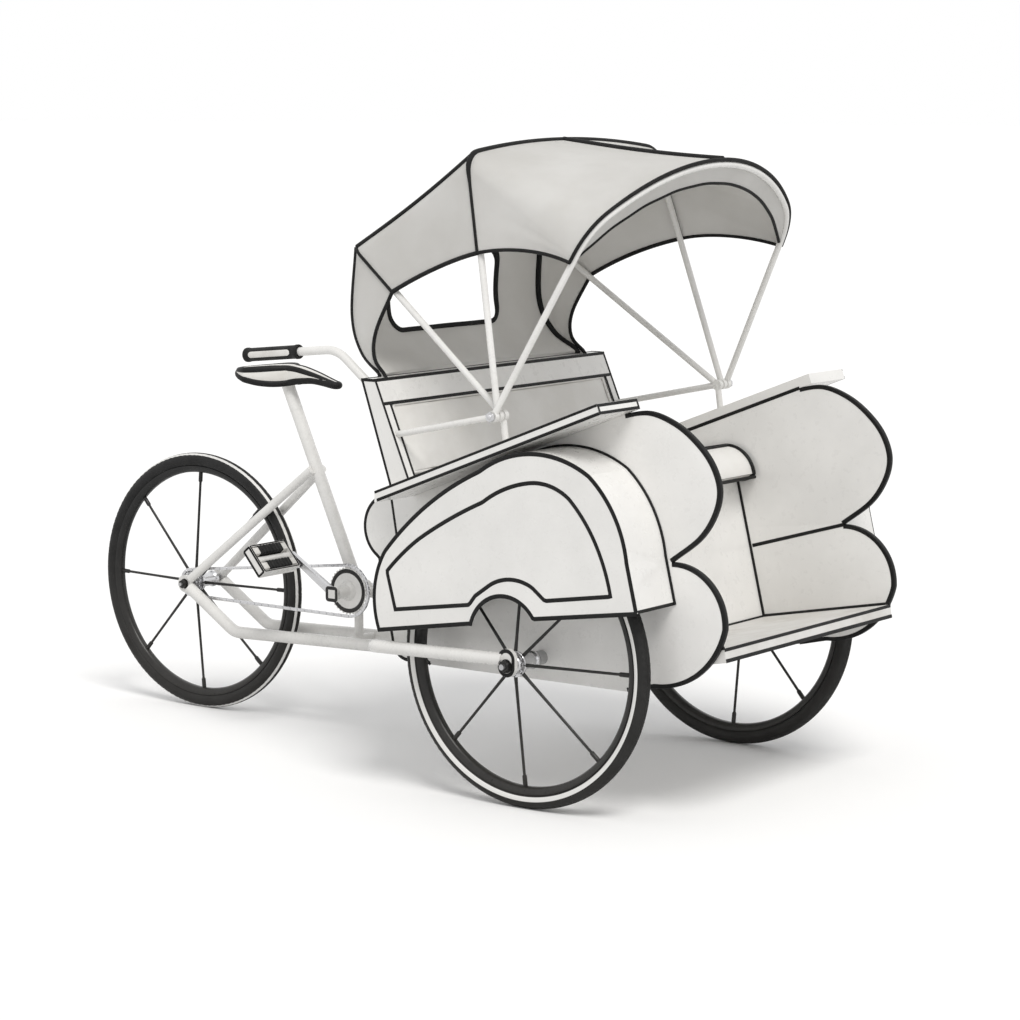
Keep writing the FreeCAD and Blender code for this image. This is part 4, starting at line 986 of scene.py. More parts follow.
@dataclass
class Hood:
    """The folding hood: two stretched panels, the laced curtain with its window, and a valance, all with
    dark bindings, on three bows.

    Attributes:
        rear, middle, front: the bows.
        curtain: the sections that the curtain hangs through below the rear bow.
        off: the cloth's middle from the bows' centre line.
        thick: the cloth's thickness.
        rise: how far the lower edge of each panel arches up between its bows.
        sag: how far each panel sags between its bows.
        tuck: the way from the curtain's last section to its hem, behind the backrest's rail.
        panel_edges: radius of the bindings on the (rear, front) panel's edges.
        rear_seam, crown_seam: radius of the rear panel's two seams and of the front panel's one.
        curtain_edge, curtain_seam, valance_edge: radius of the curtain's and the valance's bindings.
        bow_bindings: for the (middle, rear, front) bow, the binding's radius on (its legs, its crown).
        tape: (half-depth, half-width) of the window's binding.
        folds: height of the folds in the (panels, curtain, valance).
        step, window_step: the distance between the sections of the bindings and of the window's.
        window_half, window_z, window_r: the window's half-width, (low, high) and corner radius.
        valance_rise, valance_r: r of the top of the valance's lower edge, and that edge's radius.
    """

    rear: Bow = Bow(-53.5, 0.466, 0.13, 0.655, 2.6, 0.032, 0.462)
    middle: Bow = Bow(-14.0, 0.485, 0.15, 0.644, 2.8, 0.045, 0.39)
    front: Bow = Bow(27.6, 0.504, 0.13, 0.658, 0.655, 0.15, 0.412)
    curtain: tuple = (
        Bow(-67.7, 0.462, 0.13, 0.583, 2.6, 0.03, 0.462),
        Bow(-75.7, 0.462, 0.13, 0.52, 2.6, 0.018, 0.445),
        Bow(-80.2, 0.462, 0.13, 0.422, 6.000, 0.004, 0.396),
    )
    off: float = 0.012
    thick: float = 0.0022
    rise: tuple = (0.012, 0.018)
    sag: float = 0.006
    rows: int = 30
    panel_edges: tuple = (0.0055, 0.0045)
    rear_seam: float = 0.008
    crown_seam: float = 0.01
    curtain_edge: float = 0.0048
    curtain_seam: float = 0.0084
    valance_edge: float = 0.0042
    bow_bindings: tuple = ((0.0042, 0.0074), (0.0042, 0.0042), (0.0044, 0.005))
    tape: tuple = (0.0042, 0.0095)
    folds: tuple = (0.0009, 0.0016, 0.0008)
    step: float = 0.012
    window_step: float = 0.009
    window_half: float = 0.226
    window_z: tuple = (1.0975, 1.2935)
    window_r: float = 0.042
    tuck: tuple = (-0.006, 0.0, -0.013)
    valance_rise: float = 0.607
    valance_r: float = 0.623

    def panel(self, one: Bow, two: Bow, rise: float, offset: float) -> Array:
        """A cloth between two bows: each row is (1 - v) A + v B of the two arches, whose feet start at the
        edge's r plus rise * 4 v (1 - v), and it is drawn in by sag * sin(pi v) with faint tension folds.

        Args:
            one, two: the bows.
            rise: how far the lower edge arches up.
            offset: the surface's distance from the bows' centre line.

        Returns:
            A grid (rows, columns, 3).
        """
        shares = np.linspace(0, 1, self.rows)
        grid = np.stack([
            (1 - v) * one.placed(one.arch(offset, one.edge + rise * 4 * v * (1 - v)))
            + v * two.placed(two.arch(offset, two.edge + rise * 4 * v * (1 - v))) for v in shares])
        out = self.outward(grid)
        lengths = lengths_along(grid[0])[None]
        hollow = np.sin(np.pi * shares)[:, None]
        folds = self.folds[0] * np.sin(lengths * 61 + 2.6 * shares[:, None]) * np.sin(lengths * 17) * hollow
        return grid - out * (self.sag * hollow + folds)[..., None]

    @staticmethod
    def outward(grid: Array) -> Array:
        """The unit normals of a grid, pointing away from the pivot line.

        Args:
            grid: points (rows, columns, 3).

        Returns:
            Normals (rows, columns, 3).
        """
        normal = unit(np.cross(np.gradient(grid, axis=0), np.gradient(grid, axis=1)))
        middle = PIVOT + (0.0, 0.0, 0.25)
        flip = np.sign(np.sum(normal * (grid - middle), axis=-1, keepdims=True))
        return normal * np.where(flip == 0, 1, flip)

    def cloth(self, name: str, grid: Array, keep: Optional[Array] = None) -> Piece:
        """A cloth of even thickness about a grid, with its weave's own coordinates.

        Args:
            name: the piece's name.
            grid: its middle surface (rows, columns, 3).
            keep: which cells of the grid are there, if not all.

        Returns:
            The piece.
        """
        rows, columns = grid.shape[:2]
        out = self.outward(grid) * self.thick / 2
        along, down = lengths_along(grid[rows // 2]), lengths_along(grid[:, columns // 2])
        weave = np.stack(np.broadcast_arrays(along[None], down[:, None], 0.0), axis=-1)
        index = np.arange(rows * columns).reshape(rows, columns)
        cells = np.stack((index[:-1, :-1], index[1:, :-1], index[1:, 1:], index[:-1, 1:]), axis=-1)
        cells = cells.reshape(-1, 4) if keep is None else cells[keep]
        sides = np.stack((cells, np.roll(cells, -1, axis=1)), axis=-1).reshape(-1, 2)
        order = np.sort(sides, axis=1)
        _, first, seen = np.unique(order, axis=0, return_index=True, return_counts=True)
        rim = sides[first[seen == 1]]
        under = rows * columns
        band = np.stack((rim[:, 1], rim[:, 0], rim[:, 0] + under, rim[:, 1] + under), axis=-1)
        points = np.concatenate(((grid + out).reshape(-1, 3), (grid - out).reshape(-1, 3)))
        return Piece(name).add(points, [cells, cells[:, ::-1] + under, band],
                               cloth=np.concatenate((weave.reshape(-1, 3),) * 2))

    @staticmethod
    def measured(grid: Array, row: int, column: int, keep: Optional[Array] = None) -> tuple:
        """A cloth's width along a row, its length down a column and its area: a cell's area is that of the
        parallelogram on its first two edges.

        Args:
            grid: its middle surface (rows, columns, 3).
            row, column: where it is measured.
            keep: which cells are there, if not all.

        Returns:
            The width, the length and the area.
        """
        corner = grid[:-1, :-1]
        cells = np.linalg.norm(np.cross(grid[1:, :-1] - corner, grid[:-1, 1:] - corner), axis=-1)
        area = float(np.sum(cells if keep is None else cells[keep]))
        return float(lengths_along(grid[row])[-1]), float(lengths_along(grid[:, column])[-1]), area

    def crossing(self, one: Bow, two: Bow) -> tuple:
        """Two points square to the line halfway between two bows, each as far out as its bow's lower edge.

        Args:
            one, two: the bows.

        Returns:
            Both points.
        """
        middle, half = math.radians(one.angle + two.angle) / 2, math.radians(two.angle - one.angle) / 2
        way = math.sin(half) * np.array((math.cos(middle), 0.0, -math.sin(middle)))
        return (tuple(PIVOT - one.edge * way), tuple(PIVOT + two.edge * way))

    def lines(self, name: str, body: Union[str, tuple], runs: Sequence[tuple]) -> None:
        """Bindings along several paths.

        Args:
            name: the piece's name.
            body: what it rides on.
            runs: for each path, (path, across, radius).
        """
        piece = Piece(name)
        for path, across, radius in runs:
            piece.tube(spaced(path, self.step), radius, across, count=10)
        piece.finish(BINDING, body, "hood_cloth")

    def panels(self) -> None:
        """The two stretched panels and their bindings."""
        seam = self.middle.counts[0] + self.middle.counts[1] // 2
        top = self.middle.counts[0] + self.middle.counts[1] + self.middle.counts[2] - 3
        sides = (0.0, 1.0, 0.0)
        for name, one, two, bodies, rise, edge in zip(
                ("rear", "front"), (self.rear, self.middle), (self.middle, self.front),
                (("chassis", "hood_middle"), ("hood_middle", "hood_front")), self.rise, self.panel_edges):
            turn = bodies + self.crossing(one, two)
            grid = self.panel(one, two, rise, self.off)
            node = "hood_panel_" + name
            rows, columns = grid.shape[:2]
            canvas = self.cloth(node + "_canvas", grid)
            cloth = canvas.finish(CANVAS, turn, "hood_cloth", [node], sharp=60.0)
            width, length, area = self.measured(grid, rows // 2, top)
            edges = [(grid[:, at], sides, edge) for at in (0, columns - 1)]
            if name == "rear":
                edges += [(grid[:, at], sides, self.rear_seam) for at in (seam, columns - 1 - seam)]
            else:
                edges.append((grid[:, top], sides, self.crown_seam))
            self.lines(node + "_bindings", turn, edges)

    def arches(self) -> None:
        """The bindings that follow the bows, each on its bow's own body."""
        for name, bow, body, (legs, crown) in zip(
                ("middle", "rear", "front"), (self.middle, self.rear, self.front),
                ("hood_middle", "chassis", "hood_front"), self.bow_bindings):
            path = spaced(bow.placed(bow.arch(self.off + 0.001, bow.edge)), self.step)
            high = np.clip((path[:, 2] - path[:, 2].max() + 0.1) / 0.06, 0, 1)
            binding = Piece("hood_binding_" + name)
            binding.tube(path, 1.0, bow.across, count=10, scale=legs + (crown - legs) * high)
            binding.finish(BINDING, body, "hood_cloth")

    def hang(self) -> None:
        """The curtain: through the rear bow's arch and its own sections by a Catmull-Rom curve, so that it
        hangs in one soft bend, with the window left out and bindings round it and down its seams."""
        bows = (self.rear,) + self.curtain
        knots = np.stack([bow.placed(bow.arch(self.off, bow.edge)) for bow in bows])
        knots = np.concatenate((2 * knots[:1] - knots[1:2], knots, 2 * knots[-1:] - knots[-2:-1]))
        marks = np.linspace(0, len(bows) - 1, 54)
        grid = through(knots, marks)
        tuck = grid[-1] + np.linspace(0, 1, 4)[1:, None, None] * self.tuck
        grid, marks = np.concatenate((grid, tuck)), np.append(marks, np.full(3, marks[-1]))
        folds = self.folds[1] * np.sin(grid[..., 1] * 38 + 1.2) * np.clip(marks[:, None] / 2, 0, 1)
        grid = grid + self.outward(grid) * folds[..., None]
        rows, columns = grid.shape[:2]
        cell = (grid[:-1, :-1] + grid[1:, 1:]) / 2
        low, high = self.window_z
        inset = np.maximum(np.abs(cell[..., 1]) - self.window_half + self.window_r, 0)
        over = np.maximum(np.abs(cell[..., 2] - (low + high) / 2) - (high - low) / 2 + self.window_r, 0)
        keep = np.hypot(inset, over) > self.window_r
        curtain = self.cloth("hood_curtain_canvas", grid, keep).finish(
            CANVAS, "chassis", "hood_cloth",
            ["hood_curtain_" + part for part in ("top", "bottom", "right", "left")], sharp=60.0)
        width, length, area = self.measured(grid, rows // 2, columns // 2, keep)
        sides, seam = (0.0, 1.0, 0.0), self.rear.counts[0] + self.rear.counts[1] // 2
        runs = [(grid[:, at], sides, self.curtain_edge) for at in (0, columns - 1)]
        runs += [(grid[:, at], sides, self.curtain_seam) for at in (seam, columns - 1 - seam)]
        self.lines("hood_curtain_bindings", "chassis", runs)
        ring = spaced(self.window(grid), self.window_step)[:-1]
        tape = sweep(ring, oval(*self.tape, 14), unit((ring - PIVOT) * (1, 0, 1)), closed=True)
        Piece("hood_window_binding").hoop(tape).finish(BINDING, "chassis", "hood_cloth")

    def window(self, grid: Array) -> Array:
        """The window's outline, carried on to the curtain: for each row of the grid x and z are read at the
        outline's y, and then x at its z.

        Args:
            grid: the curtain (rows, columns, 3).

        Returns:
            A closed path (n, 3), whose last point is its first.
        """
        low, high = self.window_z
        flat = rounded_box(self.window_half, (high - low) / 2, self.window_r, 9)
        loop = np.concatenate((flat, flat[:1]))
        loop = spaced(np.column_stack((loop, np.zeros(len(loop)))), self.window_step)
        loop = loop[:, :2] + (0, (low + high) / 2)
        profile_x = np.stack([np.interp(loop[:, 0], row[::-1, 1], row[::-1, 0]) for row in grid])
        profile_z = np.stack([np.interp(loop[:, 0], row[::-1, 1], row[::-1, 2]) for row in grid])
        below = np.clip((profile_z > loop[:, 1]).sum(axis=0) - 1, 0, len(grid) - 2)
        pick = np.arange(len(loop))
        z0, z1 = profile_z[below, pick], profile_z[below + 1, pick]
        share = np.clip((z0 - loop[:, 1]) / np.maximum(z0 - z1, 1e-9), 0, 1)
        x = profile_x[below, pick] * (1 - share) + profile_x[below + 1, pick] * share
        return np.stack((x, loop[:, 0], loop[:, 1]), axis=-1)

    def valance(self) -> None:
        """The valance inside the front bow: in the bow's plane, from the arch down to the circle
        y^2 + (r - rise + radius)^2 = radius^2, with its lower edge bound."""
        centre = self.valance_rise - self.valance_r
        arch = self.front.arch(-0.0084, self.front.edge)
        turn = np.arctan2(arch[:, 1] - centre, arch[:, 0])
        inner = self.valance_r * ray(turn) + (0, centre)
        inside = np.hypot(arch[:, 0], arch[:, 1] - centre) > self.valance_r + 0.001
        arch, inner = arch[inside], inner[inside]
        shares = np.linspace(0, 1, 7)[:, None, None]
        flat = arch[None] * (1 - shares) + inner[None] * shares
        grid = np.stack([self.front.placed(row) for row in flat])
        normal = np.array(self.front.across)
        wave = self.folds[2] * np.sin(turn[inside] * 34)[None] * shares[..., 0]
        grid = grid + normal * wave[..., None]
        rows, columns = grid.shape[:2]
        along, down = np.linspace(0, 1.3, columns)[None], np.linspace(0, 0.06, rows)[:, None]
        weave = np.stack(np.broadcast_arrays(along, down, 0.0), axis=-1)
        thick = normal * self.thick / 2
        piece = Piece("hood_valance_canvas")
        closed = np.concatenate((grid + thick, (grid - thick)[::-1]))
        piece.grid(closed, wrap_rows=True, cloth=np.concatenate((weave, weave[::-1])))
        cloth = piece.finish(CANVAS, "hood_front", "hood_cloth", ["hood_valance"], sharp=60.0)
        width, _, area = self.measured(grid, 0, 0)
        self.lines("hood_valance_binding", "hood_front", [(grid[-1], self.front.across, self.valance_edge)])

    def build(self) -> None:
        """Makes the whole hood."""
        self.panels()
        self.arches()
        self.hang()
        self.valance()


# ---- cabin ----
@dataclass
class Cabin:
    """The black beading of the walls, the mudguards, the armrests, the backrest and the floor. All places
    are (forward, up) from the front axle.

    Attributes:
        wall_y: the walls' outer faces.
        wall_t: the walls' thickness.
        guard_y: the mudguards' outer faces.
        back_y: the backrest's ends.
    """

    wall_y: float = 0.393
    wall_t: float = 0.012
    guard_y: float = 0.545
    back_y: float = 0.485
    arm_point: tuple = (-0.341, 0.4055)
    arm_slope: float = math.tan(math.radians(20.9))
    arm_back: float = -0.389
    arm_front: float = 0.265
    arm_t: float = 0.026
    edge_x: float = 0.239
    cusp: tuple = (0.372, 0.2625)
    wall_foot: tuple = (0.249, -0.0555)
    wall_heel: tuple = (-0.34, -0.0555)
    wall_rear: tuple = (-0.4, 0.0045)
    bulge_places: tuple = ((0.31, 0.6095), (0.383, 0.5865), (0.442, 0.546), (0.484, 0.4975), (0.504, 0.44),
                           (0.4915, 0.381), (0.45, 0.3205))
    guard_foot: tuple = ((-0.381, 0.0455), (0.38, 0.1645))
    notch_r: float = 0.099
    notch_drop: float = 0.0396
    riser: tuple = ((0.055, 0.3525), (0.138, 0.0045))
    floor_front: tuple = (0.509, 0.073)
    floor_t: float = 0.033
    back_rear: tuple = (-0.39, 0.3945, 0.34)
    back_face: tuple = (-0.326, 0.3945, 0.427)
    back_top: float = 0.65
    back_rail: float = 0.058
    back_post: float = 0.03

    @property
    def inner_y(self) -> float:
        """The walls' inner faces."""
        return self.wall_y - self.wall_t

    def arm_line(self, x: float) -> float:
        """Height of the armrests' top at x."""
        return self.arm_point[1] + (x - self.arm_point[0]) * self.arm_slope

    def arm_under(self, x: float) -> tuple:
        """The place of the armrests' underside at x."""
        return (x, self.arm_line(x) - self.arm_t * math.hypot(1, self.arm_slope))

    @staticmethod
    def lean(line: tuple, z: float) -> tuple:
        """The place at height z on a leaning line of the backrest, (x, height, lean)."""
        return (line[0] - (z - line[1]) * line[2], z)

    @staticmethod
    def strip(piece: Piece, places: Array, y: float, half: float, deep: float = 0.0018, closed: bool = False,
              step: float = 0.01) -> None:
        """Adds a low oval bead along places on an upright face at y.

        Args:
            piece: what it is added to.
            places: the line's places (n, 2).
            y: the face.
            half: half its width in the face.
            deep: half its depth across the face.
            closed: whether its end joins its start.
            step: the distance between its sections.
        """
        path = spaced(cabin(places, y), step)
        piece.line(path[:-1] if closed else path, oval(deep, half), (0, 1, 0), closed)

    def front_edge(self) -> Array:
        """A wall's front edge, from under the armrest round both bulges to the foot. The upper bulge is a
        Catmull-Rom curve through its places; the lower one is two arcs.

        Returns:
            Places (n, 2).
        """
        high = self.arm_under(self.edge_x)
        places = np.array(((0.175, high[1] - 0.024), high, *self.bulge_places, self.cusp, (0.322, 0.224)))
        curve = through(places, np.arange(12 * (len(places) - 3)) / 12)
        lower = outline(self.cusp, [
            ((0.482, 0.22), (0.521, 0.1175)), ((0.47, 0.024), (0.326, -0.0375)), (self.wall_foot,)], 33)
        return np.concatenate((curve, lower))

    def walls(self) -> None:
        """The side walls, with their bulges rounded over."""
        top = self.arm_under(self.arm_back)
        rest = outline(self.wall_foot, [(self.wall_heel,), (self.wall_rear,), ((-0.461, top[1]),), (top,)])
        ring = np.concatenate((self.front_edge(), rest[1:]))
        shift = FRONT_AXLE[[0, 2]]
        for name, side in SIDES:
            piece = Piece("side_wall_%s_skin" % name)
            skin = plate(ring + shift, (side * self.inner_y, side * self.wall_y), 0.0012)
            piece.solid(skin, hub=np.array((0.06, 0.23)) + shift)
            piece.finish(BODY_ENAMEL, "chassis", "body_paint", ["side_wall_" + name], sharp=30)

    def wall_edges(self) -> None:
        """The bead that wraps each wall's front edge, and the lines on the walls' inner faces."""
        edge = self.front_edge()
        middle, wide, deep = self.wall_y - self.wall_t / 2, self.wall_t / 2 + 0.001, 0.0056
        turn = int(np.argmin(np.linalg.norm(edge - self.cusp, axis=1)))
        for name, side in SIDES:
            piece = Piece("wall_edge_bead_" + name)
            for run in (edge[:turn + 1], edge[turn:]):
                path = spaced(cabin(self.shifted(run, deep - 0.0005), side * middle), 0.007)
                piece.line(path, rounded_box(wide, deep, 0.0026), (0, 1, 0))
            inner = side * self.inner_y
            self.strip(piece, np.array((self.arm_under(-0.3), self.arm_under(self.edge_x))), inner, 0.0045)
            self.strip(piece, np.array(((0.1045, 0.1865), self.cusp)), inner, 0.0045)
            self.strip(piece, np.array(self.riser) + (0.002, 0), inner, 0.0045, 0.003)
            tread = np.array((self.riser[1], self.floor_front)) + (0, 0.002)
            self.strip(piece, tread, inner, 0.0045, 0.003)
            piece.finish(BLACK_BEAD, "chassis", "body_paint")

    @staticmethod
    def shifted(places: Array, distance: float) -> Array:
        """A line moved to its right, square to itself: at a corner the move is along the mitre.

        Args:
            places: the line (n, 2).
            distance: how far.

        Returns:
            Places (n, 2).
        """
        ahead = unit(np.diff(places, axis=0))
        normal = np.stack((ahead[:, 1], -ahead[:, 0]), axis=-1)
        first, last = np.concatenate((normal[:1], normal)), np.concatenate((normal, normal[-1:]))
        share = np.maximum(1 + np.sum(first * last, axis=1, keepdims=True), 0.6)
        return places + distance * (first + last) / share

    def guard_line(self, x: float) -> float:
        """Height of the mudguards' lower edge at x."""
        (x0, z0), (x1, z1) = self.guard_foot
        return z0 + (x - x0) * (z1 - z0) / (x1 - x0)

    def guard_top(self) -> Array:
        """The mudguard's outline, over the top from its rear foot to its front one.

        Returns:
            Places (n, 2).
        """
        return outline(self.guard_foot[0], [
            ((-0.396, 0.14), (-0.362, 0.245)), ((-0.228, 0.37), (-0.073, 0.461)),
            ((0.1, 0.514), (0.246, 0.472)), ((0.318, 0.385), (0.353, 0.2775)), (self.guard_foot[1],)], 21)

    def guard_foot_line(self) -> Array:
        """The mudguard's lower edge from front to rear, with its round notch over the axle.

        Returns:
            Places (n, 2).
        """
        middle = self.guard_line(0.0) - self.notch_drop
        ring = self.notch_r * ray(np.linspace(0, 2 * np.pi, 721)[:-1]) + (0, middle)
        above = ring[:, 1] > self.guard_line(ring[:, 0])
        return np.concatenate((self.guard_foot[1:], ring[above], self.guard_foot[:1]))

    def pinstripe(self) -> Array:
        """The line inside the mudguard's outline, which rises over the notch on an arch of its own. It is
        written from the rear axle and the floor.

        Returns:
            Places (n, 2), closed.
        """
        lining = outline((1.124, 0.46), [
            ((1.348, 0.493),), ((1.366, 0.516),), ((1.411, 0.547),),
            ((1.4715, 0.565), (1.533, 0.552)), ((1.57, 0.524),), ((1.756, 0.552),),
            ((1.746, 0.592), (1.718, 0.662)), ((1.676, 0.728), (1.638, 0.769)),
            ((1.588, 0.793), (1.528, 0.797)), ((1.473, 0.784), (1.389, 0.741)),
            ((1.298, 0.697), (1.198, 0.638)), ((1.134, 0.586), (1.099, 0.551)),
            ((1.124, 0.46),)], 11)
        return lining + (REAR_AXLE[0] - FRONT_AXLE[0], -FRONT_AXLE[2])

    def guards(self) -> None:
        """The mudguards' beads: round the outer face, along the band's edges, and the lining."""
        top, foot = self.guard_top(), self.guard_foot_line()
        for name, side in SIDES:
            piece = Piece("mudguard_beads_" + name)
            outer = np.concatenate((self.shifted(top, 0.0042), self.shifted(foot, 0.0035)[1:]))
            self.strip(piece, outer, side * (self.guard_y - 0.0005), 0.0055, 0.0018, step=0.008)
            self.strip(piece, top, side * (self.wall_y + 0.0012), 0.0054, 0.003)
            self.strip(piece, self.pinstripe(), side * self.guard_y, 0.005, 0.0012, closed=True, step=0.008)
            front = cabin(np.add(self.guard_foot[1], (-0.001, 0.003)), 0.0)
            ends = [front + (0, side * y, 0) for y in (self.wall_y, self.guard_y - 0.002)]
            piece.line(np.array(ends), oval(0.0014, 0.0042), (1, 0, 0.33))
            piece.finish(BLACK_BEAD, "chassis", "body_paint")

    def armrests(self) -> None:
        """The armrests' beads: two lines along the outer face, and the border of the near one's end."""
        slope = math.atan(self.arm_slope)
        down = np.array((math.sin(slope), -math.cos(slope)))
        for name, side in SIDES:
            piece = Piece("armrest_beads_" + name)
            ends = np.array([(x, self.arm_line(x)) for x in (self.arm_back, self.arm_front)])
            for drop, half in ((0.0028, 0.0032), (self.arm_t - 0.0034, 0.0038)):
                self.strip(piece, ends + drop * down, side * self.guard_y, half, 0.0012)
            piece.finish(BLACK_BEAD, "chassis", "armrest_paint")
        end = self.arm_front - 0.0005
        near, far, low, high = 0.004 - self.guard_y, -self.inner_y - 0.004, self.arm_t - 0.004, 0.004
        corners = [cabin((end, self.arm_line(end)) + drop * down, y)
                   for y, drop in ((near, low), (far, low), (far, high), (near, high))]
        heading = (math.cos(slope), 0.0, math.sin(slope))
        border = Piece("armrest_end_border")
        border.line(looped(corners, 0.006), oval(0.0012, 0.0042), heading, True)
        border.finish(BLACK_BEAD, "chassis", "armrest_paint")

    def backrest(self) -> None:
        """The backrest's lines: round its front, along the rail's foot and down the posts' edges."""
        piece = Piece("backrest_beads")
        end, post = self.back_y, self.back_y - self.back_post
        foot, high = self.arm_line(self.arm_back) + 0.004, self.back_top - 0.002
        heading = (1.0, 0.0, self.back_face[2])

        def run(one: tuple, two: tuple, half: float, across: tuple, shift: tuple = (0, 0, 0)) -> None:
            """Adds a line.

            Args:
                one, two: its ends, each (line, height, y).
                half: half its width.
                across: the direction of its depth.
                shift: how far it is moved.
            """
            ends = [cabin(self.lean(line, z), y) + shift for line, z, y in (one, two)]
            deep = 0.0012 if across[1] else 0.0013
            piece.line(spaced(np.array(ends), 0.02), oval(deep, half), across)

        face, rear, tip = self.back_face, self.back_rear, end - 0.001
        for z in (high, self.back_top - self.back_rail):
            run((face, z, -tip), (face, z, tip), 0.0042, heading)
        run((rear, high, -tip), (rear, high, tip), 0.0035, (0.0, 0.0, 1.0), (0.003, 0, 0.002))
        for side in (-1, 1):
            for y, top in ((post, self.back_top - self.back_rail), (end - 0.003, high)):
                run((face, top, side * y), (face, foot, side * y), 0.0038, heading)
            run((rear, high, side * end), (rear, foot, side * end), 0.0036, (0, 1, 0), (0.003, 0, 0))
            run((rear, high, side * end), (face, high, side * end), 0.0036, (0, 1, 0))
        piece.finish(BLACK_BEAD, "chassis", "body_paint")

    def floor(self) -> None:
        """The floor's lines: along both edges of its front, and at the riser's foot."""
        (x0, z0), (x1, z1) = self.riser[1], self.floor_front
        slope = math.atan2(z1 - z0, x1 - x0)
        down = np.array((math.sin(slope), -math.cos(slope)))
        piece = Piece("floor_beads")
        heading = (math.cos(slope), 0.0, math.sin(slope))
        tips = (-self.inner_y + 0.0005, self.inner_y - 0.0005)
        for drop, half in ((0.0034, 0.004), (self.floor_t - 0.004, 0.0046)):
            piece.line(crossbar(self.floor_front + drop * down, tips), oval(0.0013, half), heading)
        piece.line(crossbar(np.add(self.riser[1], 0.001), tips), oval(0.003, 0.004), (1, 0, 0))
        piece.finish(BLACK_BEAD, "chassis", "floor_wood")

    def bulge(self) -> None:
        """The lines round the ends of the rounded panel behind the seat."""
        line = outline((-0.477, self.arm_under(self.arm_back)[1]), [
            ((-0.548, 0.2645), (-0.503, 0.1955)), ((-0.4614, -0.008),),
            ((-0.446, -0.041), (-0.41, self.wall_heel[1])), (self.wall_heel,)], 21)
        piece = Piece("rear_panel_beads")
        for side in (-1, 1):
            self.strip(piece, self.shifted(line, -0.0042), side * (self.wall_y - 0.0004), 0.0046, 0.0016)
            joint = np.array(((-0.461, line[0][1]), self.wall_rear, self.wall_heel))
            self.strip(piece, joint, side * self.wall_y, 0.0036, 0.0012)
        piece.finish(BLACK_BEAD, "chassis", "body_paint")

    def build(self) -> None:
        """Makes every line."""
        self.walls()
        self.wall_edges()
        self.guards()
        self.armrests()
        self.backrest()
        self.floor()
        self.bulge()


# ---- soft goods ----
@dataclass
class Cushion:
    """A stuffed pad: its node's shape drawn in, then filled with air as a cloth.

    Attributes:
        node: the node that it stands for.
        inset: how far the cloth starts inside the node's surface.
        cap: how far the point that swells most may move.
        voxel: size of the mesh's cells.
        pressure: the air's pressure.
        steps: steps of the simulation.
        fill: not used.
    """

    node: str
    inset: float = 0.0065
    cap: float = 0.006
    voxel: float = 0.0068
    pressure: float = 4.0
    steps: int = 20
    fill: float = 0.75

    @staticmethod
    def read(mesh: bpy.types.Mesh) -> Array:
        """The mesh's points.

        Args:
            mesh: the mesh.

        Returns:
            Points (n, 3).
        """
        places = np.empty(len(mesh.vertices) * 3)
        mesh.vertices.foreach_get("co", places)
        return places.reshape(-1, 3)

    @staticmethod
    def evaluated(piece: bpy.types.Object) -> bpy.types.Mesh:
        """The mesh that the object's modifiers give."""
        graph = bpy.context.evaluated_depsgraph_get()
        return bpy.data.meshes.new_from_object(piece.evaluated_get(graph))

    def core(self) -> bpy.types.Object:
        """The node's shape in even cells with rounded edges, moved in by inset along its normals.

        Returns:
            The object.
        """
        source = frame["nodes"][self.node]
        mesh = source.data.copy()
        mesh.transform(source.matrix_world)
        mesh.materials.clear()
        piece = new_object(self.node + "_pad", mesh)
        remesh = piece.modifiers.new("cells", "REMESH")
        remesh.mode, remesh.voxel_size, remesh.use_smooth_shade = "VOXEL", self.voxel, True
        smooth = piece.modifiers.new("rounded", "SMOOTH")
        smooth.factor, smooth.iterations = 0.5, 5
        piece.data = self.evaluated(piece)
        piece.modifiers.clear()
        places, normals = self.read(piece.data), np.empty(len(piece.data.vertices) * 3)
        piece.data.vertices.foreach_get("normal", normals)
        piece.data.vertices.foreach_set("co", (places - self.inset * normals.reshape(-1, 3)).ravel())
        return piece

    def blow(self, piece: bpy.types.Object) -> None:
        """Runs the cloth and keeps start + (end - start) * min(1, cap / greatest move).

        Args:
            piece: the pad.
        """
        start = self.read(piece.data)
        cloth = piece.modifiers.new("air", "CLOTH")
        air = cloth.settings
        air.quality, air.mass, air.bending_stiffness = 5, 0.3, 0.5
        air.tension_stiffness = air.compression_stiffness = 15.0
        air.use_pressure, air.uniform_pressure_force = True, self.pressure
        air.effector_weights.gravity = 0.0
        cloth.point_cache.frame_start, cloth.point_cache.frame_end = 1, self.steps
        for step in range(1, self.steps + 1):
            bpy.context.scene.frame_set(step)
        mesh = self.evaluated(piece)
        moved = self.read(mesh) - start
        far = np.linalg.norm(moved, axis=1, keepdims=True)
        LOG.info("%s: cloth moved up to %.1f mm", piece.name, 1000 * float(far.max()))
        moved *= min(1.0, self.cap / max(float(np.percentile(far, 99.5)), 1e-6))
        moved *= np.minimum(1.0, self.cap / np.maximum(np.linalg.norm(moved, axis=1, keepdims=True), 1e-9))
        piece.modifiers.clear()
        piece.data = mesh
        piece.data.vertices.foreach_set("co", (start + moved).ravel())
        bpy.context.scene.frame_set(1)

    def build(self) -> None:
        """Makes the pad."""
        piece = self.core()
        self.blow(piece)
        finer = piece.modifiers.new("finer", "SUBSURF")
        finer.levels = finer.render_levels = 1
        piece.data = self.evaluated(piece)
        piece.modifiers.clear()
        piece.data.polygons.foreach_set("use_smooth", np.ones(len(piece.data.polygons), bool))
        piece.data.materials.clear()
        piece.data.materials.append(LEATHERCLOTH.build())
        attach(piece, "chassis")
        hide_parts(self.node)
        LOG.info("%s: %d faces", piece.name, len(piece.data.polygons))


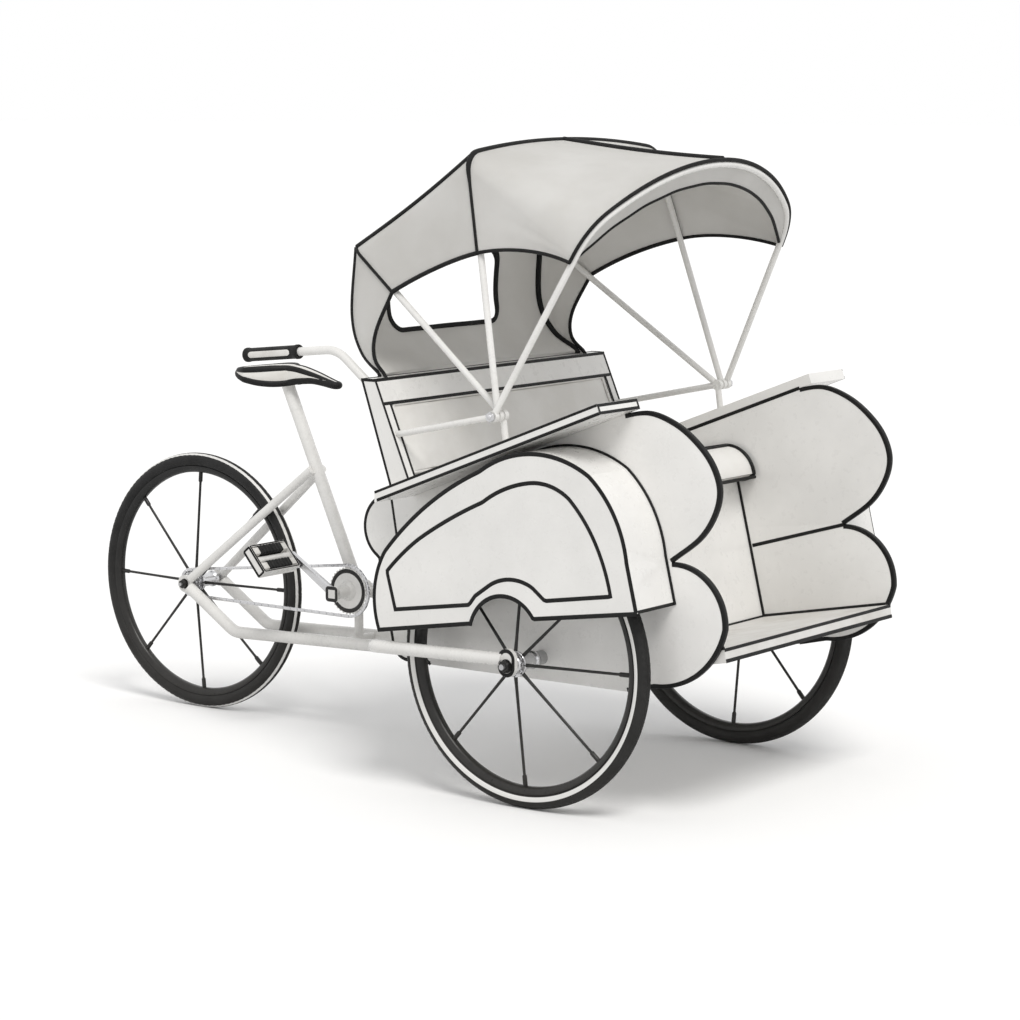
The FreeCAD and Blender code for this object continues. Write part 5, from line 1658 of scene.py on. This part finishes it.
@dataclass
class Upholstery:
    """The seat's cushion and the backrest's, with their piping. Places are cabin places.

    Attributes:
        seat_half: half the seat cushion's width.
        back_half: half the back cushion's width.
        cord: radius of the seat's piping.
        back_cord: radius of the back's piping.
    """

    seat_half: float = 0.376
    back_half: float = 0.45
    cord: float = 0.0048
    back_cord: float = 0.0036

    def seat_outline(self) -> Array:
        """The seat cushion's profile, from its lower back corner over its top to its heel.

        Returns:
            Places (n, 2).
        """
        slope = math.tan(math.radians(11.0))
        foot = 0.3525 + (-0.357 - 0.055) * slope
        return outline((-0.357, foot + 0.0004), [
            ((-0.357, 0.377),), ((-0.33, 0.377),), ((0.03, 0.446),), ((0.091, 0.424), (0.119, 0.372)),
            ((0.095, 0.3555), (0.055, 0.3529))], 17)

    def seat(self) -> None:
        """The seat cushion, with cords round both ends, along the crown and along the nose's foot."""
        Cushion("seat_cushion").build()
        line = Cabin.shifted(self.seat_outline(), self.cord)
        piece = Piece("seat_cushion_piping")
        out = self.seat_half - self.cord - 0.001
        for side in (-1, 1):
            piece.tube(spaced(cabin(line[2:], side * out), 0.008), self.cord, (0, 1, 0))
        for place in ((0.036, 0.4435), (0.1155, 0.369)):
            low = np.subtract(place, (0, self.cord * 0.6))
            piece.tube(crossbar(low, (-out, out)), self.cord, (1, 0, 0))
        piece.finish(BLACK_BEAD, "chassis", "vinyl")

    def back(self) -> None:
        """The back cushion, with a pale cord round its front."""
        Cushion("backrest_cushion", inset=0.006, cap=0.0055).build()
        face = Cabin.back_face
        inner, low, high = self.back_half - self.back_cord - 0.001, 0.4265, 0.587
        drawn_in = self.back_cord + 0.001
        corners = [cabin(np.subtract(Cabin.lean(face, z), (drawn_in, 0)), y)
                   for y, z in ((-inner, low), (inner, low), (inner, high), (-inner, high))]
        piece = Piece("backrest_cushion_piping")
        piece.tube(looped(corners, 0.012), self.back_cord, (1.0, 0.0, face[2]), closed=True)
        piece.finish(LEATHERCLOTH, "chassis", "vinyl")

    def build(self) -> None:
        """Makes both cushions."""
        self.seat()
        self.back()


@dataclass
class Saddle:
    """The rider's saddle: a pale cover, a black roll under its edge and a black cord along its top. Stations
    are distances forward of its tail.

    Attributes:
        tail: its tail's place forward of the rear axle.
        ends: (station, half-width) where its flank's arc starts, passes and ends.
        nose: (station, radius) of its nose.
        top: (stations, heights) of its crest.
        edge: (stations, heights) of its lower edge.
        roll: radius of the edge's roll.
        cord: radius of the cord.
        post: its post's foot, forward of and above the rear axle.
        sleeve: (start, end) of the post's sleeve along the post from that foot.
        sleeve_r: radius of the sleeve.
    """

    tail: float = 0.163
    ends: tuple = ((0.0785, 0.095), (0.13, 0.076), (0.18, 0.032))
    nose: tuple = (0.322, 0.02)
    top: tuple = ((0.0, 0.02, 0.05, 0.078, 0.11, 0.15, 0.18, 0.205, 0.23, 0.258, 0.3, 0.33, 0.342),
                  (0.957, 0.958, 0.961, 0.964, 0.967, 0.97, 0.969, 0.966, 0.96, 0.953, 0.94, 0.931, 0.928))
    edge: tuple = ((0.0, 0.02, 0.05, 0.072, 0.112, 0.146, 0.172, 0.205, 0.255, 0.288, 0.325, 0.342),
                   (0.95, 0.947, 0.941, 0.935, 0.926, 0.9225, 0.924, 0.931, 0.935, 0.931, 0.924, 0.923))
    roll: float = 0.01
    cord: float = 0.0092
    post: tuple = (0.322, 0.5575)
    sleeve: tuple = (-0.07, 0.012)
    sleeve_r: float = 0.0174

    def plan(self, inset: float) -> Array:
        """The flank on one side in plan, from tail to nose.

        Args:
            inset: how far it is moved in.

        Returns:
            Places (n, 2), as (station, half-width).
        """
        wide, way, waist = self.ends
        tail = arc((wide[0], -wide[1]), (0, 0), wide, 41)[20:]
        flank = arc(wide, way, waist, 25)[1:]
        tip = (self.nose[0], 0) + self.nose[1] * ray(np.linspace(np.pi / 2, 0, 13))
        moved = Cabin.shifted(spaced(np.concatenate((tail, flank, tip)), 0.004), inset)
        moved[:, 1] = np.maximum(moved[:, 1], 0.0)
        return moved

    @staticmethod
    def height(table: tuple, stations: Array) -> Array:
        """Heights off a table of (stations, heights), eased with a running mean over 24 mm."""
        spread = np.linspace(-0.012, 0.012, 7)
        return np.mean([np.interp(stations + shift, *table) for shift in spread], axis=0)

    def placed(self, stations: Array, across: Array, heights: Array) -> Array:
        """Points from stations, distances across and heights."""
        return np.stack((stations + self.tail + REAR_AXLE[0], across, heights), axis=-1)

    def ring(self, inset: float, table: tuple, drop: float) -> Array:
        """A closed line round the saddle.

        Args:
            inset: how far it is moved in, in plan.
            table: (stations, heights).
            drop: how far it lies under those heights.

        Returns:
            Points (n, 3).
        """
        half = self.plan(inset)
        round_trip = np.concatenate((half, (half * (1, -1))[::-1][1:-1]))
        return self.placed(round_trip[:, 0], round_trip[:, 1], self.height(table, round_trip[:, 0]) - drop)

    def flank(self, inset: float) -> tuple:
        """Stations (n,) and half-widths (n,) between the plan's ends, moved in by inset."""
        half = self.plan(inset)[1:-1]
        return half[:, 0], np.maximum(half[:, 1], 0.0005)

    def cover(self) -> None:
        """The cover. At turn a its section is |cos a|^0.72 of the half-width out and (sin a)^0.42 of the way
        up from the lower edge to the crest, and below it closes in a shallow curve."""
        stations, wide = self.flank(0.003)
        low, high = self.height(self.edge, stations), self.height(self.top, stations)
        out, rise = ray(np.linspace(0, np.pi, 33)).T
        back = ray(np.linspace(0, np.pi, 13)[1:-1]) * (-1, -0.18)
        across = np.concatenate((np.sign(out) * np.abs(out) ** 0.72, back[:, 0])) * wide[:, None]
        heights = low[:, None] + np.concatenate((rise**0.42, back[:, 1])) * (high - low + 0.002)[:, None]
        grid = self.placed(np.broadcast_to(stations[:, None], across.shape), across, heights)
        cover = Piece("saddle_cover_pad").solid(grid)
        pad = cover.finish(SADDLE_COVER, "chassis", "saddle_cover", ["saddle"], sharp=80)

    def trim(self) -> None:
        """The roll under the cover's edge, the cord along its top and the pan that closes it below."""
        rolls, up = Piece("saddle_edge_roll"), (0, 0, 1)
        rolls.tube(self.ring(self.roll, self.edge, -0.001), self.roll, up, True, 16)
        rolls.tube(self.ring(0.0125, self.top, 0.0062), self.cord, up, True, 14)
        stations, wide = self.flank(0.012)
        pan = self.placed(stations, wide, self.height(self.edge, stations) - 0.0055)
        rolls.grid(np.stack((pan, pan * (1, 0, 1), pan * (1, -1, 1)), axis=1))
        rolls.finish(BLOCK_RUBBER, "chassis", "saddle_cover", sharp=60, outward=False)

    def post_sleeve(self) -> None:
        """The post's sleeve, along the line from the crank axle, with a rounded lower lip."""
        foot = REAR_AXLE * (1, 0, 1) + np.array((self.post[0], 0.0, self.post[1]))
        start, end = self.sleeve
        steps = np.array((start, start + 0.0005, start + 0.0015, start + 0.006, end))
        sizes = np.array((0.955, 0.985, 1.0, 1.0, 1.0))
        path = foot + steps[:, None] * unit(foot - SHELL * (1, 0, 1))
        tube = sweep(path, oval(self.sleeve_r, self.sleeve_r, 48), (0, 1, 0), scale=sizes)
        Piece("saddle_post_sleeve").solid(tube).finish(
            FRAME_ENAMEL, "chassis", "frame_paint", ["saddle_post"], sharp=50)

    def build(self) -> None:
        """Makes the whole saddle."""
        self.cover()
        self.trim()
        self.post_sleeve()


# ---- drive ----
def plate(ring: Array, ends: tuple, edge: float) -> Array:
    """A flat plate across Y with rounded edges: its outline is drawn in by edge * (1 - sin a) at a depth of
    edge * (1 - cos a) under each face.

    Args:
        ring: its outline (n, 2), closed, as (x, z).
        ends: its faces' places in Y.
        edge: radius of its edges.

    Returns:
        A grid (rows, n, 3).
    """
    ahead = unit(np.roll(ring, -1, axis=0) - ring)
    after = np.roll(ring, -1, axis=0)
    area = np.sum(ring[:, 0] * after[:, 1] - after[:, 0] * ring[:, 1])
    normal = np.stack((-ahead[:, 1], ahead[:, 0]), axis=-1) * np.sign(area)
    before = np.roll(normal, 1, axis=0)
    inward = (before + normal) / np.maximum(1 + np.sum(before * normal, axis=1, keepdims=True), 0.6)
    turn = np.linspace(0, np.pi / 2, 4)
    near, far = ends
    way = math.copysign(1.0, far - near)
    rows = [(edge * (1 - math.sin(a)), near + way * edge * (1 - math.cos(a))) for a in turn]
    rows += [(inset, near + far - y) for inset, y in reversed(rows)]
    return np.stack([at_y(ring + inset * inward, y) for inset, y in rows])


def hull(one: Array, radius_one: float, two: Array, radius_two: float, count: int = 15) -> Array:
    """The outline of two discs and the straight lines that touch both: with t the turn from one centre to the
    other and b = acos((r1 - r2) / distance), the lines leave the discs at t + b and t - b.

    Args:
        one: the first centre (2,).
        radius_one: its radius.
        two: the second centre.
        radius_two: its radius.
        count: places on each arc.

    Returns:
        Places (2 * count, 2).
    """
    run = two - one
    turn = math.atan2(run[1], run[0])
    touch = math.acos((radius_one - radius_two) / float(np.linalg.norm(run)))
    first = np.linspace(turn + touch, turn + 2 * np.pi - touch, count)
    second = np.linspace(turn - touch, turn + touch, count)
    return np.concatenate((one + radius_one * ray(first), two + radius_two * ray(second)))


def boxed(low: Sequence[float], high: Sequence[float], radius: float) -> Array:
    """The outline of a rectangle with rounded corners between two corners (n, 2)."""
    low, high = np.array(low), np.array(high)
    return rounded_box(*(high - low) / 2, radius) + (low + high) / 2


@dataclass
class Drive:
    """Cranks, chainwheel, chain, rear sprocket and pedals.

    Attributes:
        length: length of a crank arm.
        turn: the right arm's angle, in degrees from forward, turning up and back.
        arm_y: the middle of an arm, from the vehicle's middle.
        arm_t: its thickness.
        arm_r: radii of its two ends.
        chain_y: the chain's place across.
        rings: pitch radii of the chainwheel and the sprocket.
        teeth: their teeth.
        clear: from the pitch line to the discs' teeth.
        tooth: depth of a tooth.
        pitch: length of a link.
        pedal: (inner face, outer face) across, (length, depth) of a pedal.
        plate_t: thickness of its plates.
        tilt: the right pedal's tilt in degrees.
        rubber: (length, depth) of a rubber block.
    """

    length: float = 0.17
    turn: float = 147.6
    arm_y: float = 0.102
    arm_t: float = 0.014
    arm_r: tuple = (0.012, 0.009)
    chain_y: float = 0.044
    rings: tuple = (0.06874, 0.03639)
    teeth: tuple = (34, 18)
    clear: float = 0.0054
    tooth: float = 0.004
    pitch: float = 0.0127
    pedal: tuple = ((0.116, 0.256), (0.085, 0.028))
    plate_t: float = 0.005
    tilt: float = 50.0
    rubber: tuple = (0.026, 0.038)

    @property
    def shell(self) -> Array:
        """The crank axle's centre as (x, z)."""
        return SHELL[[0, 2]]

    def arm_end(self, side: int) -> Array:
        """The pedal axle's centre as (x, z)."""
        return self.shell + self.length * ray(math.radians(self.turn + (0 if side < 0 else 180)))

    @staticmethod
    def bar(place: Array, start: float, end: float) -> Array:
        """The straight path across from start to end at a place (x, z)."""
        return spaced(np.array((at_y(place, start), at_y(place, end))), 0.02)

    @staticmethod
    def cog(centre: Array, radius: float, teeth: int, depth: float) -> Array:
        """A toothed outline: the radius falls by depth * (0.5 - 0.5 * tanh(2.2 * cos(teeth * a))).

        Args:
            centre: its centre (2,).
            radius: its greatest radius.
            teeth: how many teeth.
            depth: their depth.

        Returns:
            Places (10 * teeth, 2).
        """
        turn = np.linspace(0, 2 * np.pi, teeth * 10, endpoint=False)
        reach = radius - depth * (0.5 - 0.5 * np.tanh(2.2 * np.cos(teeth * turn)))
        return centre + reach[:, None] * ray(turn)

    def cranks(self) -> None:
        """Both arms with their eyes, the axle and the pedal spindles."""
        piece, half = Piece("crank_arms"), self.arm_t / 2
        for side in (-1, 1):
            end = self.arm_end(side)
            near, far = side * (self.arm_y - half), side * (self.arm_y + half)
            arm = hull(self.shell, self.arm_r[0], end, self.arm_r[1])
            piece.solid(plate(arm, (near, far), 0.0028))
            root, tip = far - side * 0.004, side * (self.pedal[0][1] - 0.0102)
            piece.tube(self.bar(end, root, tip), 0.006, (1, 0, 0), count=20)
            eye = at_y(end, far - side * 0.001)
            piece.solid(hexagon(0.0145, 0.0035, 0.0006) * (1, side, 1) + eye)
        axle = self.bar(self.shell, -self.arm_y + 0.002, self.arm_y - 0.002)
        piece.tube(axle, 0.0084, (1, 0, 0), count=28)
        piece.solid(hexagon(0.015, 0.004, 0.0006) + at_y(self.shell, self.arm_y + half - 0.001))
        piece.finish(PLATED, "cranks", "drive_steel", ["crankset"], sharp=35)

    def chainwheel(self) -> None:
        """The chainwheel with its hub and black lines, and the square boss on the right arm's eye."""
        half, line = self.arm_t / 2, -self.chain_y
        wheel_y = (line + 0.0016, line - 0.0016)
        disc = self.cog(self.shell, self.rings[0] - self.clear, self.teeth[0], self.tooth)
        spider = [(0.0135, line), (0.027, line - 0.001), (0.026, line - 0.0048), (0.019, line - 0.012),
                  (0.016, -self.arm_y + half), (0.007, -self.arm_y + half), (0.007, line)]
        hub = lathe(np.array(spider), at_y(self.shell, 0), 48)
        face = Piece("chainwheel_disc").solid(plate(disc, wheel_y, 0.0006)).hoop(hub)
        face.finish(FRAME_ENAMEL, "cranks", "drive_steel", sharp=35)
        rim = Piece("chainwheel_rim")
        out = self.rings[0] - self.clear - 0.01
        rim.line(at_y(self.shell + oval(out, out, 96), wheel_y[1]), oval(0.0012, 0.0056), (0, 1, 0), True)
        boss_y = (-self.arm_y - half + 0.001, -self.arm_y - half - 0.0035)
        square = boxed(self.shell - 0.0205, self.shell + 0.0205, 0.007)
        edge = at_y(boxed(self.shell - 0.016, self.shell + 0.016, 0.005), boss_y[1])
        rim.line(edge, oval(0.001, 0.0046), (0, 1, 0), True)
        rim.finish(BLACK_ENAMEL, "cranks", "drive_steel")
        boss = Piece("crank_boss").solid(plate(square, boss_y, 0.001))
        boss.finish(FRAME_ENAMEL, "cranks", "drive_steel", sharp=35)

    def sprocket(self) -> None:
        """The rear wheel's sprocket."""
        centre = REAR_AXLE[[0, 2]]
        ring = self.cog(centre, self.rings[1] - self.clear, self.teeth[1], self.tooth)
        ends = (-self.chain_y + 0.0014, -self.chain_y - 0.0014)
        piece = Piece("rear_sprocket").solid(plate(ring, ends, 0.0005))
        for radius in (0.0235, 0.019):
            circle = at_y(centre + oval(radius, radius, 64), -self.chain_y - 0.0012)
            piece.tube(circle, 0.0012, (0, 1, 0), True, 10)
        piece.finish(MACHINED, "rear_wheel", "wheel_steel", sharp=35)

    def chain_path(self) -> Array:
        """The rollers' places along the pitch line, an even number of them.

        Returns:
            Places (links, 2), as (x, z).
        """
        ring = hull(self.shell, self.rings[0], REAR_AXLE[[0, 2]], self.rings[1], 181)
        closed = np.concatenate((ring, ring[:1]))
        length = float(np.sum(np.linalg.norm(np.diff(closed, axis=0), axis=1)))
        links = 2 * round(length / self.pitch / 2)
        return spaced(closed, length / links * 1.0000001)[:links]

    def chain(self) -> None:
        """The chain: rollers, with inner and outer plates by turns."""
        places = self.chain_path()
        run = np.roll(places, -1, axis=0) - places
        pitch = float(np.mean(np.linalg.norm(run, axis=1)))
        moved = about_y(unit(run), at_y(places, -self.chain_y))
        link = hull(np.zeros(2), 0.0039, np.array((pitch, 0.0)), 0.0039, 7)
        piece = Piece("chain_links")
        for first, inner, outer in ((0, 0.0017, 0.0026), (1, 0.0028, 0.0037)):
            for side in (-1, 1):
                shape = Piece("link").solid(plate(link, (side * inner, side * outer), 0.0002))
                piece.copies(shape, moved[first::2])
        for half, radius, count in ((0.0039, 0.0021, 10), (0.0017, 0.0037, 12)):
            pin = np.array(((0.0, -half, 0.0), (0.0, half, 0.0)))
            piece.copies(Piece("roller").tube(pin, radius, (1, 0, 0), count=count), moved)
        piece.finish(PLATED, "chassis", "drive_steel", ["chain"], sharp=35)

    def pedals(self) -> None:
        """Each pedal's two ribbed rubber blocks with pale ends, and black edges on its four plates."""
        (inner, outer), (long, deep) = self.pedal
        for name, side in SIDES:
            end, body = self.arm_end(side), name + "_pedal"
            tilt = math.radians(self.tilt if side < 0 else 0.0)
            ahead = np.array((math.cos(tilt), 0.0, -math.sin(tilt)))
            up = np.array((math.sin(tilt), 0.0, math.cos(tilt)))
            centre, turned = at_y(end, 0), np.array((ahead, (0, side, 0), up))
            blocks = Piece("pedal_%s_blocks" % name)
            reach = long / 2 - self.plate_t - self.rubber[0] / 2 - 0.0004
            ends = Piece("pedal_%s_block_ends" % name)
            start, stop = inner + self.plate_t + 0.0004, outer - self.plate_t - 0.0004
            shape = rounded_box(self.rubber[0] / 2, self.rubber[1] / 2, 0.004)
            for way in (-1, 1):
                for piece, low, high, waves in (
                        (ends, start, start + 0.022, 0), (ends, stop - 0.022, stop, 0),
                        (blocks, start + 0.021, stop - 0.021, 7)):
                    ribs = np.linspace(low, high, 64)
                    turn = 2 * np.pi * (ribs - low) / (high - low) * waves
                    swell = np.clip(1.1 * np.cos(turn) + 0.5, 0, 1)
                    scale = (0.93 + 0.07 * swell) if waves else np.full(64, 0.8)
                    scale[[0, -1]] = 0.88 if waves else 0.78
                    path = np.stack((np.full(64, way * reach), ribs, np.zeros(64)), axis=-1)
                    piece.solid(sweep(path, shape, (1, 0, 0), scale=scale) @ turned + centre)
            blocks.finish(BLOCK_RUBBER, body, "pedal_rubber", ["pedal_%s_rubbers" % name], sharp=50)
            ends.finish(GRIP_RUBBER, body, "pedal_rubber", sharp=50)
            edges = Piece("pedal_%s_edges" % name)
            half, thick = long / 2, deep / 2
            for way in (-1, 1):
                rim = boxed((-half + 0.0022, inner + 0.0022), (half - 0.0022, outer - 0.0022), 0.002)
                path = np.insert(rim, 2, way * (thick + 0.0002), axis=1)
                band = sweep(path, oval(0.0026, 0.0014, 10), (0, 0, 1), True)
                edges.hoop(band @ turned + centre)
            for way in (-1, 1):
                rim = boxed((-half + 0.003, -thick + 0.003), (half - 0.003, thick - 0.003), 0.002)
                path = at_y(rim, outer + 0.0002 if way > 0 else inner - 0.0002)
                edges.hoop(sweep(path, oval(0.001, 0.003, 10), (0, 1, 0), True) @ turned + centre)
            edges.finish(BLACK_BEAD, body, "drive_steel")

    def build(self) -> None:
        """Makes the whole drive."""
        self.cranks()
        self.chainwheel()
        self.sprocket()
        self.chain()
        self.pedals()


# ---- fittings ----
@dataclass
class Fittings:
    """The grips, the axles' nuts and washers, the hood pins' nuts and the end plates' edges.

    Attributes:
        grip_end: the grip's closed end, (forward, up) from the front axle.
        grip_y: its place across.
        grip_run: the way from the grip's end to its mouth, (forward, up).
        grip_r: its radius.
        grip_long: its length.
        pin_y: the inner face of the heads of the hood's pins.
        front_nut, rear_nut: (seat across, width across flats, height, washer's radius) of the axle nuts.
    """

    grip_end: tuple = (-0.911, 0.6815)
    grip_y: float = 0.41
    grip_run: tuple = (0.2964, 0.0286)
    grip_r: float = 0.0185
    grip_long: float = 0.176
    pin_y: float = 0.5135
    front_nut: tuple = (0.536, 0.0262, 0.0122, 0.0165)
    rear_nut: tuple = (0.074, 0.0212, 0.0122, 0.0135)

    def grips(self) -> None:
        """Each grip: a ribbed black sleeve with a collar at each end and a pale pad let into both sides."""
        run = unit(np.array((self.grip_run[0], 0.0, self.grip_run[1])))
        up = np.cross(run, (0.0, -1.0, 0.0))
        up *= np.sign(up[2])
        head = [(-0.004, 0.7), (-0.0032, 0.86), (-0.001, 0.97), (0.002, 1.0), (0.008, 1.0), (0.01, 0.93)]
        tail = [(self.grip_long - 0.012, 0.93), (self.grip_long - 0.01, 1.0), (self.grip_long - 0.003, 1.0),
                (self.grip_long, 0.92)]
        ribs = np.linspace(0.016, self.grip_long - 0.02, 57)
        ribs = np.stack((ribs, 0.93 + 0.02 * np.cos(ribs * 2 * np.pi / 0.005)), axis=-1)
        along, size = np.concatenate((head, ribs, tail)).T
        for name, side in SIDES:
            start = cabin(self.grip_end, side * self.grip_y)
            sleeve = Piece("grip_%s_sleeve" % name).tube(
                start + along[:, None] * run, self.grip_r, (0, 1, 0), count=32, scale=size)
            sleeve.finish(BLOCK_RUBBER, "chassis", "grip_rubber", ["grip_" + name], sharp=60)
            pads = Piece("grip_%s_pads" % name)
            steps = np.linspace(0.016, self.grip_long - 0.02, 60)
            taper = np.sqrt(np.clip(np.minimum(steps - steps[0], steps[-1] - steps) / 0.008, 0.02, 1))
            flat = oval(0.0014, 0.0078, 20) @ np.array(((0.0, 1.0, 0.0), up))
            for way in (-1, 1):
                middle = start + steps[:, None] * run + (0.0, way * self.grip_r * 0.9, 0.0)
                pads.solid(middle[:, None] + taper[:, None, None] * flat)
            pads.finish(GRIP_RUBBER, "chassis", "grip_rubber", sharp=60)

    @staticmethod
    def nut(piece: Piece, centre: Array, side: int, size: tuple) -> None:
        """Adds a washer and a hexagon nut on an axle.

        Args:
            piece: what they are added to.
            centre: a point on the axle.
            side: -1 for right.
            size: their sizes, such as front_nut.
        """
        y, flats, thick, disc = size
        ring = np.array(
            ((0.004, 0.0), (disc, 0.0), (disc + 0.0004, 0.0004), (disc, 0.0016), (0.004, 0.0016)))
        washer = lathe(ring * (1, side), centre * (1, 0, 1) + (0, side * y, 0), 48)
        piece.hoop(washer)
        body = hexagon(flats, thick - 0.0012, 0.0012) * (1, side, 1) + centre * (1, 0, 1)
        piece.solid(body + (0, side * (y + 0.0014), 0))

    def axles(self) -> None:
        """Nuts on both axles, domed nuts on the hood's pins and the bold edge of the front end plates."""
        piece = Piece("axle_nuts")
        for side in (-1, 1):
            self.nut(piece, FRONT_AXLE, side, self.front_nut)
            self.nut(piece, REAR_AXLE, side, self.rear_nut)
        piece.finish(BLACK_ENAMEL, "chassis", "axle_steel", sharp=25)
        pins = Piece("hood_pin_nuts")
        for side in (-1, 1):
            seat = PIVOT * (1, 0, 1) + (0, side * self.pin_y, 0)
            pins.solid(hexagon(0.0222, 0.0066, 0.001) * (1, side, 1) + seat)
            cap = ray(np.linspace(0, math.pi / 2 - 0.05, 6)) * (0.0062, 0.0032) + (0, 0.0066)
            dome = np.concatenate((cap, ((0.0004, 0.004), (0.0062, 0.004))))
            pins.hoop(lathe(dome * (1, side), seat, 32))
        pins.finish(PLATED, "chassis", "hood_steel", sharp=25)
        trim = Piece("end_plate_edges")
        for side in (-1, 1):
            ring = oval(0.0203, 0.0203, 72)
            ring[:, 1] += np.where(ring[:, 1] >= 0, 0.009, -0.009) + 0.007
            trim.line(cabin(ring, side * self.front_nut[0]), oval(0.0016, 0.0046), (0, 1, 0), True)
        trim.finish(BLACK_BEAD, "chassis", "frame_paint")

    def build(self) -> None:
        """Makes them all."""
        self.grips()
        self.axles()


def main() -> None:
    """Builds every part of the scene in order."""
    Studio().build()
    Bodywork().build()
    wheels = [Wheel("front_" + name, side) for name, side in SIDES]
    # The rear tyre has no white line; its shoulders get pale stripes painted as a highlight.
    wheels.append(Wheel("rear", -1, dish=0.026, hub_in=0.05, hub_out=0.05, axle_r=0.005, lined=False))
    for wheel in wheels:
        wheel.build()
    Cabin().build()
    Upholstery().build()
    Saddle().build()
    Drive().build()
    Fittings().build()
    Hood().build()


if __name__ == "__main__":
    logging.basicConfig(level=logging.INFO, format="%(name)s %(message)s")
    main()
